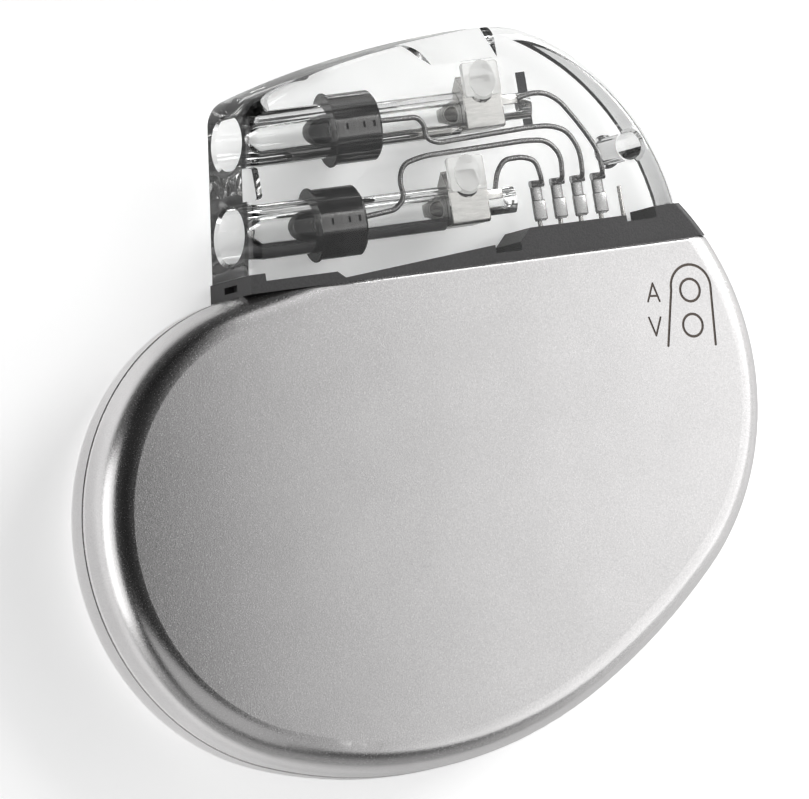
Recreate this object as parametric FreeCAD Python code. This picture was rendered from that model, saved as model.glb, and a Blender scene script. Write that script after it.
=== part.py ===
import FreeCAD, Part
import math
import os

Vector = FreeCAD.Vector

# Frame: millimetres, X along the joint between header and can, Y towards the header, Z out of the
# front face. The pulse generator lies on its back: the rear face is at Z = 0, and the origin is
# under the middle of the whole outline.

# Can
can_width = 50.0
can_thickness = 6.0
can_edge_radius = 2.0
can_wall = 0.3
top_edge_radius = 0.3
joint_y = 8.03
right_radius = can_width * 0.344
right_centre_x = can_width * 0.156
right_centre_y = -0.2
flank_radius = can_width * 0.94
bottom_radius = can_width * 0.62
right_to_flank = -48.0
flank_to_bottom = -62.0
bottom_to_left = -109.0
left_to_top = -260.0
peak_margin = 12.0

# Weld ring between the two shells, and the insulating liners
weld_band = 0.4
weld_recess = 0.05
backup_height = 1.6
backup_wall = 0.25
fit_gap = 0.02
liner_wall = 0.15
liner_rim = 2.1

# Header outline and section
header_thickness = 5.2
header_edge_radius = 0.9
top_y = 23.2
crown_x = 8.45
crown_normal = 91.0
crown_radius = 7.7
crown_to_flank = 66.0
header_flank_radius = 15.5
top_radius = 66.0
corner_radius = 1.9
left_foot_x = -11.5
left_normal = 171.3

# Header base: the metal rail under the resin, as heights above the joint line
base_foot_height = 1.2
base_foot_length = 1.25
base_left_height = 0.72
base_left_end_x = -5.0
base_low_height = 0.28
base_low_x = -4.45
base_wedge_height = 1.1
base_wedge_end_x = 6.8
base_notch_height = 0.55
base_notch_end_x = 8.7
base_block_x = 9.55
base_block_height = 1.9
base_block_end_x = 16.75
base_step_height = 1.5
base_bump_x = 18.95
base_bump_height = 2.25
base_end_inset = 0.35
base_edge_radius = 0.5
foot_slot_width = 1.6
foot_slot_height = 0.42
foot_slot_depth = 0.8

# Lead ports: two stepped bores along X
lower_axis_y = 11.95
port_spacing = 5.85
channel_shift = 2.2
mouth_radius = 1.75
mouth_chamfer = 0.2
seal_radius = 1.4
pin_bore_radius = 0.85
pin_bore_run = 2.5
ring_left_x = -3.3
ring_length = 3.5
ring_outer_radius = 2.25
ring_collar_radius = 2.38
ring_collar_length = 0.18
ring_window_depth = 0.22
ring_window_height = 0.4
ring_window_lengths = (0.45, 0.95, 0.45)
ring_window_gap = 0.3
spring_inner_radius = 1.3
spring_wire_radius = 0.26
spring_groove_length = 0.7
ring_to_tip = 9.7
tip_length = 2.9
tip_height = 2.5
tip_depth = 4.0
tip_boss_width = 2.4
tip_boss_reach = 2.25
tail_length = 1.1
tail_low = 0.1
tail_high = 0.75
tail_thickness = 0.5

# Set screws and their septa, on an axis tilted up from the front face
screw_rise = 1.95
screw_radius = 0.85
screw_clearance = 0.03
screw_length = 1.2
screw_start = 0.95
screw_socket_width = 0.9
screw_socket_depth = 0.6
screw_point_radius = 0.45
screw_point_length = 0.25
septum_gap = 0.1
septum_width = 2.7
septum_height = 2.2
septum_block_depth = 0.52
septum_skin = 0.12
septum_neck_radius = 0.95
septum_corner_radius = 0.25

# Feedthrough
pin_count = 4
pin_pitch = 1.52
pin_group_x = 13.57
pin_radius = 0.175
pin_low_y = 4.9
pin_high_y = 11.2
ferrule_length = 7.0
ferrule_depth = 2.9
ferrule_low = 0.95
ferrule_high = 1.15
insulator_length = 5.9
insulator_depth = 1.8
insulator_drop = 0.2
filter_length = 5.8
filter_depth = 2.2
filter_height = 1.1
ground_pin_x = 17.5
ground_pin_top_y = 11.95
ground_pin_radius = 0.16
ground_pin_root = 0.9

# Weld tabs and conductors
tab_width = 0.95
tab_thickness = 0.25
tab_low_y = 10.35
tab_high_y = 12.95
tab_fold_height = 0.45
tab_fold_depth = 0.5
wire_radius = 0.175
wire_z = 4.8
wire_start_drop = 0.2

# Other header features
suture_x = 17.9
suture_y = 14.3
suture_radius = 0.9
suture_chamfer = 0.2
marker_x = 12.15
marker_width = 0.62
marker_low_y = 16.6
marker_high_y = 20.0
marker_thickness = 0.25
marker_z = 1.55
recess_left_x = 4.5
recess_right_x = 9.2
recess_low_y = 20.95
notch_low_y = 13.9
notch_high_y = 16.0
notch_length = 0.9
notch_depth = 0.8

# Battery
battery_top = -2.2
battery_inset = 0.75
battery_skin_gap = 0.05
battery_edge_radius = 1.4
battery_wall = 0.25
battery_lid_thickness = 0.6
cathode_gap = 0.4
anode_inset = 3.2
anode_thickness = 1.6
anode_drop = 1.4
glass_radius = 0.8
terminal_radius = 0.25
terminal_x = 6.0
terminal_end = 0.3
terminal_depth = 1.4

# Electronics
carrier_inset = 0.75
carrier_gap = 0.2
carrier_floor = 0.4
carrier_rim = 0.6
board_inset = 1.0
board_thickness = 0.6
board_low_margin = 0.2
notch_margin = 0.25
ribbon_width = 1.0
ribbon_thickness = 0.1
ribbon_foot = 0.9
minus_ribbon_x = -2.0
coil_from_left = 8.6
coil_y = 2.2
accelerometer_from_right = 12.4
magnet_sensor_from_right = 8.6
getter_from_right = 5.4
coil_core = (1.5, 5.4, 1.5)
coil_winding = (2.5, 3.4, 2.5)

# Engraved port marks on the front face
mark_depth = 0.04
mark_width = 0.17
mark_turn = -5.0
arch_centre = (20.35, 4.8)
arch_radius = 1.47
arch_left_foot = (18.0, 1.3)
arch_right_foot = (21.5, 1.0)
circle_radius = 0.72
circle_centres = ((20.26, 4.64), (20.05, 2.4))
letter_a_centre = (17.53, 4.8)
letter_v_centre = (17.29, 2.63)
letter_height = 1.15
letter_width = 0.86
letter_stroke = 0.14
letter_bar_level = 0.3

# Derived values
mid_z = can_thickness / 2
header_low_z = mid_z - header_thickness / 2
header_high_z = mid_z + header_thickness / 2
upper_axis_y = lower_axis_y + port_spacing
screw_tilt = math.degrees(math.atan2(screw_rise, header_thickness / 2))
septum_start = screw_start + screw_length + septum_gap
board_top_z = mid_z - pin_radius
far = 100.0

os.makedirs("parts", exist_ok=True)
nodes = {}


def normal(degrees):
    return Vector(math.cos(math.radians(degrees)), math.sin(math.radians(degrees)), 0)


def box(x0, x1, y0, y1, z0, z1):
    return Part.makeBox(x1 - x0, y1 - y0, z1 - z0, Vector(x0, y0, z0))


def cylinder(radius, start, end):
    axis = end - start
    return Part.makeCylinder(radius, axis.Length, start, axis)


def arc(centre, radius, start, end):
    spots = [centre + normal(a) * radius for a in (start, (start + end) / 2, end)]
    return Part.Arc(*spots).toShape()


def raise_face(edges, z0, z1):
    wire = Part.Wire(Part.__sortEdges__(edges))
    face = Part.Face(wire)
    face.translate(Vector(0, 0, z0 - wire.BoundBox.ZMin))
    solid = face.extrude(Vector(0, 0, z1 - z0))
    return solid


def polygon(points, z0, z1):
    corners = [Vector(x, y, 0) for x, y in points]
    edges = [Part.LineSegment(a, b).toShape() for a, b in zip(corners, corners[1:] + corners[:1])]
    return raise_face(edges, z0, z1)


def end_edges(solid, z0, z1):
    """Edges that lie wholly in the two end planes of an extruded outline."""
    found = []
    for edge in solid.Edges:
        b = edge.BoundBox
        if b.ZMax - b.ZMin < 1e-4 and min(abs(b.ZMin - z0), abs(b.ZMin - z1)) < 1e-4:
            found.append(edge)
    return found


def add(name, shape):
    if len(shape.Solids) == 1:
        shape = shape.Solids[0]
    nodes[name] = shape
    shape.exportStep("parts/" + name + ".step")


# Can outline: arcs that meet at common normals, so that an inset keeps their centres
right_centre = Vector(right_centre_x, right_centre_y, 0)
can_right_x = right_centre_x + right_radius
can_left_x = can_right_x - can_width
flank_centre = right_centre + normal(right_to_flank) * (right_radius - flank_radius)
bottom_centre = flank_centre + normal(flank_to_bottom) * (flank_radius - bottom_radius)
left_pull = math.cos(math.radians(bottom_to_left))
left_radius = (bottom_centre.x + bottom_radius * left_pull - can_left_x) / (1 + left_pull)
left_centre = bottom_centre + normal(bottom_to_left) * (bottom_radius - left_radius)


# The left arc's top runs on as a straight line. It crosses the right arc at the crossing angle,
# and the right arc ends a little before it, in a straight line of its own up to the top line.
top_rise = (left_centre - right_centre).dot(normal(left_to_top)) + left_radius
crossing = left_to_top + 360 - math.degrees(math.acos(top_rise / right_radius))
top_to_right = crossing - peak_margin


def can_outline(inset):
    """The can's whole outline, with a peak above the joint line, where it is cut away."""
    top_end = left_centre + normal(left_to_top) * (left_radius - inset)
    right_end = right_centre + normal(top_to_right) * (right_radius - inset)
    top_run = normal(left_to_top - 90)
    reach = (right_end - top_end).dot(normal(top_to_right)) / top_run.dot(normal(top_to_right))
    peak = top_end + top_run * reach
    return [
        arc(right_centre, right_radius - inset, top_to_right, right_to_flank),
        arc(flank_centre, flank_radius - inset, right_to_flank, flank_to_bottom),
        arc(bottom_centre, bottom_radius - inset, flank_to_bottom, bottom_to_left),
        arc(left_centre, left_radius - inset, bottom_to_left, left_to_top),
        Part.LineSegment(top_end, peak).toShape(),
        Part.LineSegment(peak, right_end).toShape(),
    ]


def can_solid(inset, z0, z1, edge=0.0):
    solid = raise_face(can_outline(inset), z0, z1)
    if edge > 0:
        solid = solid.makeFillet(edge, end_edges(solid, z0, z1))
    return solid


def below(solid, y):
    return solid.cut(box(-far, far, y, far, -far, far))


def above(solid, y):
    return solid.cut(box(-far, far, -far, y, -far, far))


def can_body(inset, z0, z1, edge=0.0):
    return below(can_solid(inset, z0, z1, edge), joint_y - inset)


# Channels: one dictionary of places for each lead port
def channel(axis_y, shift):
    ring_x = ring_left_x - shift
    tip_x = ring_x + ring_to_tip
    return {"y": axis_y, "ring": ring_x, "tip": tip_x, "bore_end": tip_x + tip_length + pin_bore_run}


channels = {"upper": channel(upper_axis_y, 0.0), "lower": channel(lower_axis_y, channel_shift)}


def along(c, x0, x1, radius):
    return cylinder(radius, Vector(x0, c["y"], mid_z), Vector(x1, c["y"], mid_z))


def screw_point(c, distance):
    """A point on the set screw's axis, at a distance from the bore's axis."""
    middle_x = c["tip"] + tip_length / 2
    rise = math.sin(math.radians(screw_tilt)) * distance
    out = math.cos(math.radians(screw_tilt)) * distance
    return Vector(middle_x, c["y"] + rise, mid_z + out)


def tilted(c, radius, start, end):
    return cylinder(radius, screw_point(c, start), screw_point(c, end))


# Header outline
crown_top = Vector(crown_x, top_y, 0)
crown_centre = crown_top - normal(crown_normal) * crown_radius
header_flank_centre = crown_centre + normal(crown_to_flank) * (crown_radius - header_flank_radius)
top_centre = crown_top - normal(crown_normal) * top_radius
left_distance = normal(left_normal).dot(Vector(left_foot_x, joint_y, 0))
corner_pull = left_distance - corner_radius - normal(left_normal).dot(top_centre)
corner_turn = math.degrees(math.acos(corner_pull / (top_radius - corner_radius)))
top_left_normal = left_normal - corner_turn
corner_centre = top_centre + normal(top_left_normal) * (top_radius - corner_radius)
corner_end = corner_centre + normal(left_normal) * corner_radius
left_lean = math.tan(math.radians(left_normal - 90))


def left_face_x(y):
    """X of the slanted left face at a height."""
    return corner_end.x + (y - corner_end.y) / left_lean


base_end_y = joint_y + base_bump_height
flank_end_normal = math.degrees(math.asin((base_end_y - header_flank_centre.y) / header_flank_radius))
flank_end = header_flank_centre + normal(flank_end_normal) * header_flank_radius


def header_block():
    """Resin block over the whole header, down to the joint line."""
    bottom_left = Vector(left_face_x(joint_y), joint_y, 0)
    bottom_right = Vector(flank_end.x, joint_y, 0)
    edges = [
        Part.LineSegment(bottom_left, corner_end).toShape(),
        arc(corner_centre, corner_radius, left_normal, top_left_normal),
        arc(top_centre, top_radius, top_left_normal, crown_normal),
        arc(crown_centre, crown_radius, crown_normal, crown_to_flank),
        arc(header_flank_centre, header_flank_radius, crown_to_flank, flank_end_normal),
        Part.LineSegment(flank_end, bottom_right).toShape(),
        Part.LineSegment(bottom_right, bottom_left).toShape(),
    ]
    solid = raise_face(edges, header_low_z, header_high_z)
    rim = [e for e in end_edges(solid, header_low_z, header_high_z) if e.BoundBox.YMax > joint_y + 1e-3]
    return solid.makeFillet(header_edge_radius, rim)


def base_block():
    """Rail profile from the left face to the bump, with its right end on the can's own curve."""
    end_radius = right_radius - base_end_inset
    profile = [
        (left_face_x(joint_y), joint_y),
        (left_face_x(joint_y + base_foot_height), joint_y + base_foot_height),
        (left_face_x(joint_y) + base_foot_length, joint_y + base_foot_height),
        (left_face_x(joint_y) + base_foot_length, joint_y + base_left_height),
        (base_left_end_x, joint_y + base_left_height),
        (base_low_x, joint_y + base_low_height),
        (base_wedge_end_x, joint_y + base_wedge_height),
        (base_wedge_end_x, joint_y + base_notch_height),
        (base_notch_end_x, joint_y + base_notch_height),
        (base_notch_end_x, joint_y + base_wedge_height),
        (base_block_x, joint_y + base_block_height),
        (base_block_end_x, joint_y + base_block_height),
        (base_block_end_x, joint_y + base_step_height),
        (base_bump_x, joint_y + base_step_height),
        (base_bump_x, joint_y + base_bump_height),
        (far, joint_y + base_bump_height),
        (far, joint_y),
    ]
    solid = polygon(profile, header_low_z, header_high_z)
    end = cylinder(end_radius, right_centre, right_centre + Vector(0, 0, can_thickness))
    left_part = box(-far, right_centre.x, joint_y, far, 0, can_thickness)
    solid = solid.common(end.fuse(left_part))
    rim = [e for e in end_edges(solid, header_low_z, header_high_z) if isinstance(e.Curve, Part.Circle)]
    end_arcs = [e for e in rim if abs(e.Curve.Radius - end_radius) < 1e-3]
    return solid.makeFillet(base_edge_radius, end_arcs)


# Can: two drawn shells, the weld ring and the liners
def ferrule_opening(margin):
    half = ferrule_length / 2 + margin
    depth = ferrule_depth / 2 + margin
    low = joint_y - ferrule_low - margin
    high = joint_y + ferrule_high + margin
    solid = box(pin_group_x - half, pin_group_x + half, low, high, mid_z - depth, mid_z + depth)
    upright = [e for e in solid.Edges if e.BoundBox.YLength > ferrule_low]
    return solid.makeFillet(depth * 0.6, upright)


def stroke(p, q, width):
    """A groove from p to q, with round ends, cut down from the front face."""
    a = Vector(p[0], p[1], can_thickness - mark_depth)
    b = Vector(q[0], q[1], can_thickness - mark_depth)
    run = b - a
    side = Vector(-run.y, run.x, 0).normalize() * (width / 2)
    corners = [a + side, b + side, b - side, a - side, a + side]
    bar = Part.Face(Part.makePolygon(corners)).extrude(Vector(0, 0, 1))
    for spot in (a, b):
        bar = bar.fuse(cylinder(width / 2, spot, spot + Vector(0, 0, 1)))
    return bar


def ring_groove(centre, radius, width):
    low = Vector(centre[0], centre[1], can_thickness - mark_depth)
    high = low + Vector(0, 0, 1)
    return cylinder(radius + width / 2, low, high).cut(cylinder(radius - width / 2, low, high))


def letter_strokes(centre, flip):
    """Strokes of the letter A, or of V when it is turned over and loses its bar."""
    half = letter_height / 2
    across = letter_width / 2
    level = letter_bar_level * letter_height - half
    reach = across * (half - level) / letter_height
    lines = [((-across, -half), (0, half)), ((0, half), (across, -half))]
    if flip < 0:
        lines = [((-across, half), (0, -half)), ((0, -half), (across, half))]
    else:
        lines.append(((-reach, level), (reach, level)))
    turn = math.radians(mark_turn)
    spots = []
    for pair in lines:
        moved = []
        for u, v in pair:
            x = centre[0] + u * math.cos(turn) - v * math.sin(turn)
            y = centre[1] + u * math.sin(turn) + v * math.cos(turn)
            moved.append((x, y))
        spots.append(moved)
    return spots


def port_marks():
    arch_left = (arch_centre[0] - arch_radius, arch_centre[1])
    arch_right = (arch_centre[0] + arch_radius, arch_centre[1])
    marks = [stroke(arch_left_foot, arch_left, mark_width), stroke(arch_right, arch_right_foot, mark_width)]
    crown = ring_groove(arch_centre, arch_radius, mark_width)
    marks.append(above(crown, arch_centre[1]))
    for centre in circle_centres:
        marks.append(ring_groove(centre, circle_radius, mark_width))
    for p, q in letter_strokes(letter_a_centre, 1) + letter_strokes(letter_v_centre, -1):
        marks.append(stroke(p, q, letter_stroke))
    return marks[0].multiFuse(marks[1:])


outer = can_body(0.0, 0.0, can_thickness, can_edge_radius)
top_edges = [e for e in outer.Edges if e.BoundBox.YMin > joint_y - 1e-4 and e.BoundBox.ZLength < 0.1]
outer = outer.makeFillet(top_edge_radius, top_edges)
inner = can_body(can_wall, can_wall, can_thickness - can_wall, can_edge_radius - can_wall)
opening = ferrule_opening(fit_gap)
shell = outer.cut(inner).cut(opening)
band_low = mid_z - weld_band / 2
band_high = mid_z + weld_band / 2
front_half = box(-far, far, -far, far, band_high, far)
rear_half = box(-far, far, -far, far, -far, band_low)
add("front_shell", shell.common(front_half).cut(port_marks()))
add("rear_shell", shell.common(rear_half))

band = can_body(weld_recess, band_low, band_high).cut(can_body(can_wall, 0, can_thickness))
backup_low = mid_z - backup_height / 2
backup_high = mid_z + backup_height / 2
backup = can_body(can_wall + fit_gap, backup_low, backup_high)
backup = backup.cut(can_body(can_wall + fit_gap + backup_wall, 0, can_thickness))
neck = can_body(can_wall, band_low, band_high).cut(can_body(can_wall + fit_gap, 0, can_thickness))
add("weld_ring", band.fuse(neck).fuse(backup).cut(opening).removeSplitter())

liner_inset = can_wall + fit_gap
liner_edge = can_edge_radius - liner_inset
liner_outer = can_body(liner_inset, liner_inset, can_thickness - liner_inset, liner_edge)
liner_inner = can_body(liner_inset + liner_wall, liner_inset + liner_wall,
                       can_thickness - liner_inset - liner_wall, liner_edge - liner_wall)
liner_stock = liner_outer.cut(liner_inner)
liner_window = ferrule_opening(notch_margin)
add("rear_liner", liner_stock.common(box(-far, far, -far, far, 0, liner_rim)).cut(liner_window))
front_liner_zone = box(-far, far, -far, far, can_thickness - liner_rim, can_thickness)
add("front_liner", liner_stock.common(front_liner_zone).cut(liner_window))

# Battery
battery_low = liner_inset + liner_wall + battery_skin_gap
battery_high = can_thickness - battery_low


def battery_shape(inset, top):
    edge = battery_edge_radius - inset
    solid = can_solid(battery_inset + inset, battery_low + inset, battery_high - inset, edge)
    return below(solid, top)


case_inner = battery_shape(battery_wall, battery_top + 1)
add("battery_case", battery_shape(0.0, battery_top).cut(case_inner))
lid_low = battery_top - battery_lid_thickness
lid = above(battery_shape(battery_wall, battery_top), lid_low)
glass_start = Vector(terminal_x, lid_low, mid_z)
glass_end = Vector(terminal_x, battery_top, mid_z)
glass = cylinder(glass_radius, glass_start, glass_end)
pin_start = Vector(terminal_x, battery_top - terminal_depth - battery_lid_thickness, mid_z)
pin_end = Vector(terminal_x, battery_top + terminal_end, mid_z)
terminal = cylinder(terminal_radius, pin_start, pin_end)
add("battery_lid", lid.cut(glass))
add("battery_glass_seal", glass.cut(terminal))
add("battery_terminal", terminal)
anode_low = mid_z - anode_thickness / 2
anode_high = mid_z + anode_thickness / 2
anode = below(can_solid(anode_inset, anode_low, anode_high), lid_low - anode_drop)
cathode = battery_shape(battery_wall, lid_low - cathode_gap)
add("battery_anode", anode.cut(terminal))
add("battery_cathode", cathode.cut(anode).cut(cylinder(glass_radius, pin_start, pin_end)))

# Electronics
carrier_low_y = battery_top + carrier_gap
carrier_top_y = joint_y - liner_inset - liner_wall - carrier_gap
board_low_z = board_top_z - board_thickness
notch_x0 = pin_group_x - ferrule_length / 2 - notch_margin
notch_x1 = pin_group_x + ferrule_length / 2 + notch_margin
filter_top = joint_y - ferrule_low
filter_low = filter_top - filter_height
lead_notch = box(notch_x0, notch_x1, filter_low - notch_margin, far, 0, can_thickness)


def board_zone(inset, z0, z1, low_y, high_y, edge=0.0):
    return above(below(can_solid(inset, z0, z1, edge), high_y), low_y)


carrier = board_zone(carrier_inset, battery_low, battery_high, carrier_low_y, carrier_top_y,
                     battery_edge_radius)
carrier = carrier.common(box(-far, far, -far, far, 0, board_low_z))
pocket = board_zone(carrier_inset + carrier_rim, battery_low + carrier_floor, can_thickness,
                    carrier_low_y + carrier_rim, carrier_top_y - carrier_rim)
pocket = pocket.cut(box(notch_x0 - carrier_rim, notch_x1 + carrier_rim,
                        filter_low - notch_margin - carrier_rim, far, 0, can_thickness))
add("electronics_carrier", carrier.cut(pocket).cut(lead_notch))
board_low_y = carrier_low_y + board_low_margin
board = board_zone(board_inset, board_low_z, board_top_z, board_low_y, carrier_top_y)


def chip(x, y, length, width, height, z0=board_top_z):
    solid = box(x - length / 2, x + length / 2, y - width / 2, y + width / 2, z0, z0 + height)
    upper = [e for e in solid.Edges if e.BoundBox.ZMin > z0 + height - 1e-4]
    return solid.makeChamfer(height * 0.1, upper)


add("processor_chip", chip(-6.0, 2.7, 5.2, 5.2, 1.2))
add("pacing_chip", chip(0.6, 2.7, 4.6, 4.6, 1.2))
add("memory_chip", chip(-11.4, 4.4, 3.2, 2.4, 0.9))
add("crystal", chip(-11.4, 1.6, 3.2, 1.5, 0.8))
add("accelerometer", chip(can_right_x - accelerometer_from_right, 1.6, 3.0, 3.0, 1.0))
add("magnet_sensor", chip(can_right_x - magnet_sensor_from_right, 1.6, 1.6, 1.2, 0.6))
add("output_capacitors", Part.makeCompound([chip(6.2, y, 3.2, 1.6, 1.6) for y in (0.4, 2.7, 5.0)]))
small_spots = [(-9.4 + 1.7 * i, -1.0) for i in range(4)]
add("small_capacitors", Part.makeCompound([chip(x, y, 1.0, 0.5, 0.5) for x, y in small_spots]))
add("getter", chip(can_right_x - getter_from_right, 0.4, 2.2, 2.6, 0.8))

coil_x = can_left_x + coil_from_left
core = box(coil_x - coil_core[0] / 2, coil_x + coil_core[0] / 2, coil_y - coil_core[1] / 2,
           coil_y + coil_core[1] / 2, board_top_z, board_top_z + coil_core[2])
winding_zone = box(coil_x - coil_winding[0] / 2, coil_x + coil_winding[0] / 2,
                   coil_y - coil_winding[1] / 2, coil_y + coil_winding[1] / 2,
                   board_top_z - board_thickness, board_top_z + coil_winding[2])
winding = winding_zone.makeFillet(0.5, [e for e in winding_zone.Edges if e.BoundBox.YLength > 1])
coil_slot = box(coil_x - coil_winding[0] / 2 - notch_margin, coil_x + coil_winding[0] / 2 + notch_margin,
                coil_y - coil_winding[1] / 2 - notch_margin, coil_y + coil_winding[1] / 2 + notch_margin,
                board_low_z - 1, board_top_z + 1)
add("telemetry_core", core)
add("telemetry_coil", winding.cut(core))
add("circuit_board", board.cut(lead_notch).cut(coil_slot))

bend_y = carrier_low_y + board_low_margin
ribbon_x0 = terminal_x - ribbon_width / 2
ribbon_x1 = terminal_x + ribbon_width / 2
pin_top_z = mid_z + terminal_radius
saddle = box(ribbon_x0, ribbon_x1, battery_top + 0.1, bend_y + ribbon_thickness,
             pin_top_z, pin_top_z + ribbon_thickness)
riser = box(ribbon_x0, ribbon_x1, bend_y, bend_y + ribbon_thickness, board_top_z, pin_top_z)
foot = box(ribbon_x0, ribbon_x1, bend_y, bend_y + ribbon_foot, board_top_z, board_top_z + ribbon_thickness)
add("battery_ribbon_plus", saddle.fuse(riser).fuse(foot).removeSplitter())
minus_x0 = minus_ribbon_x - ribbon_width / 2
minus_x1 = minus_ribbon_x + ribbon_width / 2
tongue = box(minus_x0, minus_x1, battery_top, battery_top + ribbon_thickness, board_top_z, board_top_z + 0.9)
strap = box(minus_x0, minus_x1, battery_top, bend_y + ribbon_foot, board_top_z, board_top_z + ribbon_thickness)
add("battery_ribbon_minus", tongue.fuse(strap).removeSplitter())

# Feedthrough
insulator_half = insulator_length / 2
insulator_low = joint_y - ferrule_low
insulator_high = joint_y + ferrule_high - insulator_drop
insulator = box(pin_group_x - insulator_half, pin_group_x + insulator_half, insulator_low, insulator_high,
                mid_z - insulator_depth / 2, mid_z + insulator_depth / 2)
insulator_hole = box(pin_group_x - insulator_half, pin_group_x + insulator_half, -far, far,
                     mid_z - insulator_depth / 2, mid_z + insulator_depth / 2)
pins = []
for i in range(pin_count):
    pin_x = pin_group_x + (i - (pin_count - 1) / 2) * pin_pitch
    pins.append(cylinder(pin_radius, Vector(pin_x, pin_low_y, mid_z), Vector(pin_x, pin_high_y, mid_z)))
    add("feedthrough_pin_" + str(i + 1), pins[-1])
pin_group = Part.makeCompound(pins)
ferrule = ferrule_opening(0.0)
add("feedthrough_ferrule", ferrule.cut(insulator_hole))
add("feedthrough_insulator", insulator.cut(pin_group))
filter_body = box(pin_group_x - filter_length / 2, pin_group_x + filter_length / 2, filter_low, filter_top,
                  mid_z - filter_depth / 2, mid_z + filter_depth / 2)
add("filter_capacitor", filter_body.cut(pin_group))
ground_start = Vector(ground_pin_x, joint_y + base_step_height - ground_pin_root, mid_z)
ground_pin = cylinder(ground_pin_radius, ground_start, Vector(ground_pin_x, ground_pin_top_y, mid_z))
add("ground_pin", ground_pin)

# Header base
base = base_block()
base = base.cut(ferrule_opening(fit_gap)).cut(ground_pin)
pin_well = box(pin_group_x - insulator_half, pin_group_x + insulator_half, joint_y, far,
               mid_z - insulator_depth / 2, mid_z + insulator_depth / 2)
base = base.cut(pin_well)
slot_low = joint_y + (base_foot_height - foot_slot_height) / 2
foot_slot = box(-far, left_face_x(joint_y) + foot_slot_depth, slot_low, slot_low + foot_slot_height,
                mid_z - foot_slot_width / 2, mid_z + foot_slot_width / 2)
base = base.cut(foot_slot)
add("header_base", base)

# Weld tabs: a flat ribbon with its top folded over the conductor's start
tabs = []
tab_z0 = mid_z + pin_radius
tab_z1 = tab_z0 + tab_thickness
fold_z = tab_z1 + tab_fold_depth
for i in range(pin_count):
    pin_x = pin_group_x + (i - (pin_count - 1) / 2) * pin_pitch
    x0 = pin_x - tab_width / 2
    x1 = pin_x + tab_width / 2
    ribbon = box(x0, x1, tab_low_y, tab_high_y, tab_z0, tab_z1)
    fold = box(x0, x1, tab_high_y - tab_fold_height, tab_high_y, tab_z1, fold_z)
    tabs.append(ribbon.fuse(fold).removeSplitter())
    add("weld_tab_" + str(i + 1), tabs[-1])


# Contact blocks
def ring_block(c):
    x0 = c["ring"]
    x1 = x0 + ring_length
    body = along(c, x0, x1, ring_outer_radius)
    body = body.fuse(along(c, x0, x0 + ring_collar_length, ring_collar_radius)).removeSplitter()
    body = body.cut(along(c, x0 - 1, x1 + 1, seal_radius))
    middle = (x0 + x1) / 2
    groove_radius = spring_inner_radius + 2 * spring_wire_radius
    body = body.cut(along(c, middle - spring_groove_length / 2, middle + spring_groove_length / 2,
                          groove_radius + fit_gap))
    total = sum(ring_window_lengths) + 2 * ring_window_gap
    x = middle - total / 2
    face_z = mid_z + ring_outer_radius
    for length in ring_window_lengths:
        body = body.cut(box(x, x + length, c["y"] - ring_window_height / 2, c["y"] + ring_window_height / 2,
                            face_z - ring_window_depth, far))
        x += length + ring_window_gap
    return body


def ring_spring(c):
    middle = Vector(c["ring"] + ring_length / 2, c["y"], mid_z)
    return Part.makeTorus(spring_inner_radius + spring_wire_radius, spring_wire_radius, middle,
                          Vector(1, 0, 0))


def tip_envelope(c):
    """The tip block without its holes: a block on the bore, with a boss along the screw's axis."""
    x0 = c["tip"]
    x1 = x0 + tip_length
    body = box(x0, x1, c["y"] - tip_height / 2, c["y"] + tip_height / 2,
               mid_z - tip_depth / 2, mid_z + tip_depth / 2)
    boss = Part.makeBox(tip_length, tip_boss_width, tip_boss_reach, Vector(0, -tip_boss_width / 2, 0))
    boss.rotate(Vector(0, 0, 0), Vector(1, 0, 0), -screw_tilt)
    boss.translate(Vector(x0, c["y"], mid_z))
    zone = box(x0, x1, -far, far, mid_z - tip_depth / 2, mid_z + tip_depth / 2)
    tail = box(x1, x1 + tail_length, c["y"] + tail_low, c["y"] + tail_high,
               mid_z + tip_depth / 2 - tail_thickness, mid_z + tip_depth / 2)
    return body.fuse(boss.common(zone)).fuse(tail).removeSplitter()


def tip_block(c):
    body = tip_envelope(c).cut(along(c, c["tip"] - 1, c["tip"] + tip_length + 1, pin_bore_radius))
    return body.cut(tilted(c, screw_radius + screw_clearance, 0, header_thickness))


def set_screw(c):
    start = screw_start
    end = start + screw_length
    body = tilted(c, screw_radius, start + screw_point_length, end)
    axis = screw_point(c, 1) - screw_point(c, 0)
    point = Part.makeCone(screw_point_radius, screw_radius, screw_point_length, screw_point(c, start), axis)
    body = body.fuse(point).removeSplitter()
    corner = screw_socket_width / math.sqrt(3)
    hexagon = [Vector(corner * math.cos(math.radians(60 * i)), corner * math.sin(math.radians(60 * i)), 0)
               for i in range(7)]
    socket = Part.Face(Part.makePolygon(hexagon)).extrude(Vector(0, 0, screw_socket_depth + 1))
    socket.rotate(Vector(0, 0, 0), Vector(1, 0, 0), -screw_tilt)
    socket.translate(screw_point(c, end - screw_socket_depth))
    return body.cut(socket)


def septum(c):
    """A silicone block round the mouth of the screw's cavity, with a neck out to the front face."""
    middle_x = c["tip"] + tip_length / 2
    middle_y = c["y"] + screw_rise
    top_z = header_high_z - septum_skin
    block = box(middle_x - septum_width / 2, middle_x + septum_width / 2, middle_y - septum_height / 2,
                middle_y + septum_height / 2, top_z - septum_block_depth, top_z)
    upright = [e for e in block.Edges if e.BoundBox.ZLength > septum_block_depth / 2]
    block = block.makeFillet(septum_corner_radius, upright)
    block = block.cut(tilted(c, septum_neck_radius, 0, septum_start))
    neck = tilted(c, septum_neck_radius, septum_start, header_thickness)
    neck = neck.common(box(-far, far, -far, far, 0, header_high_z))
    return block.fuse(neck).cut(tip_envelope(c)).removeSplitter()


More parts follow.
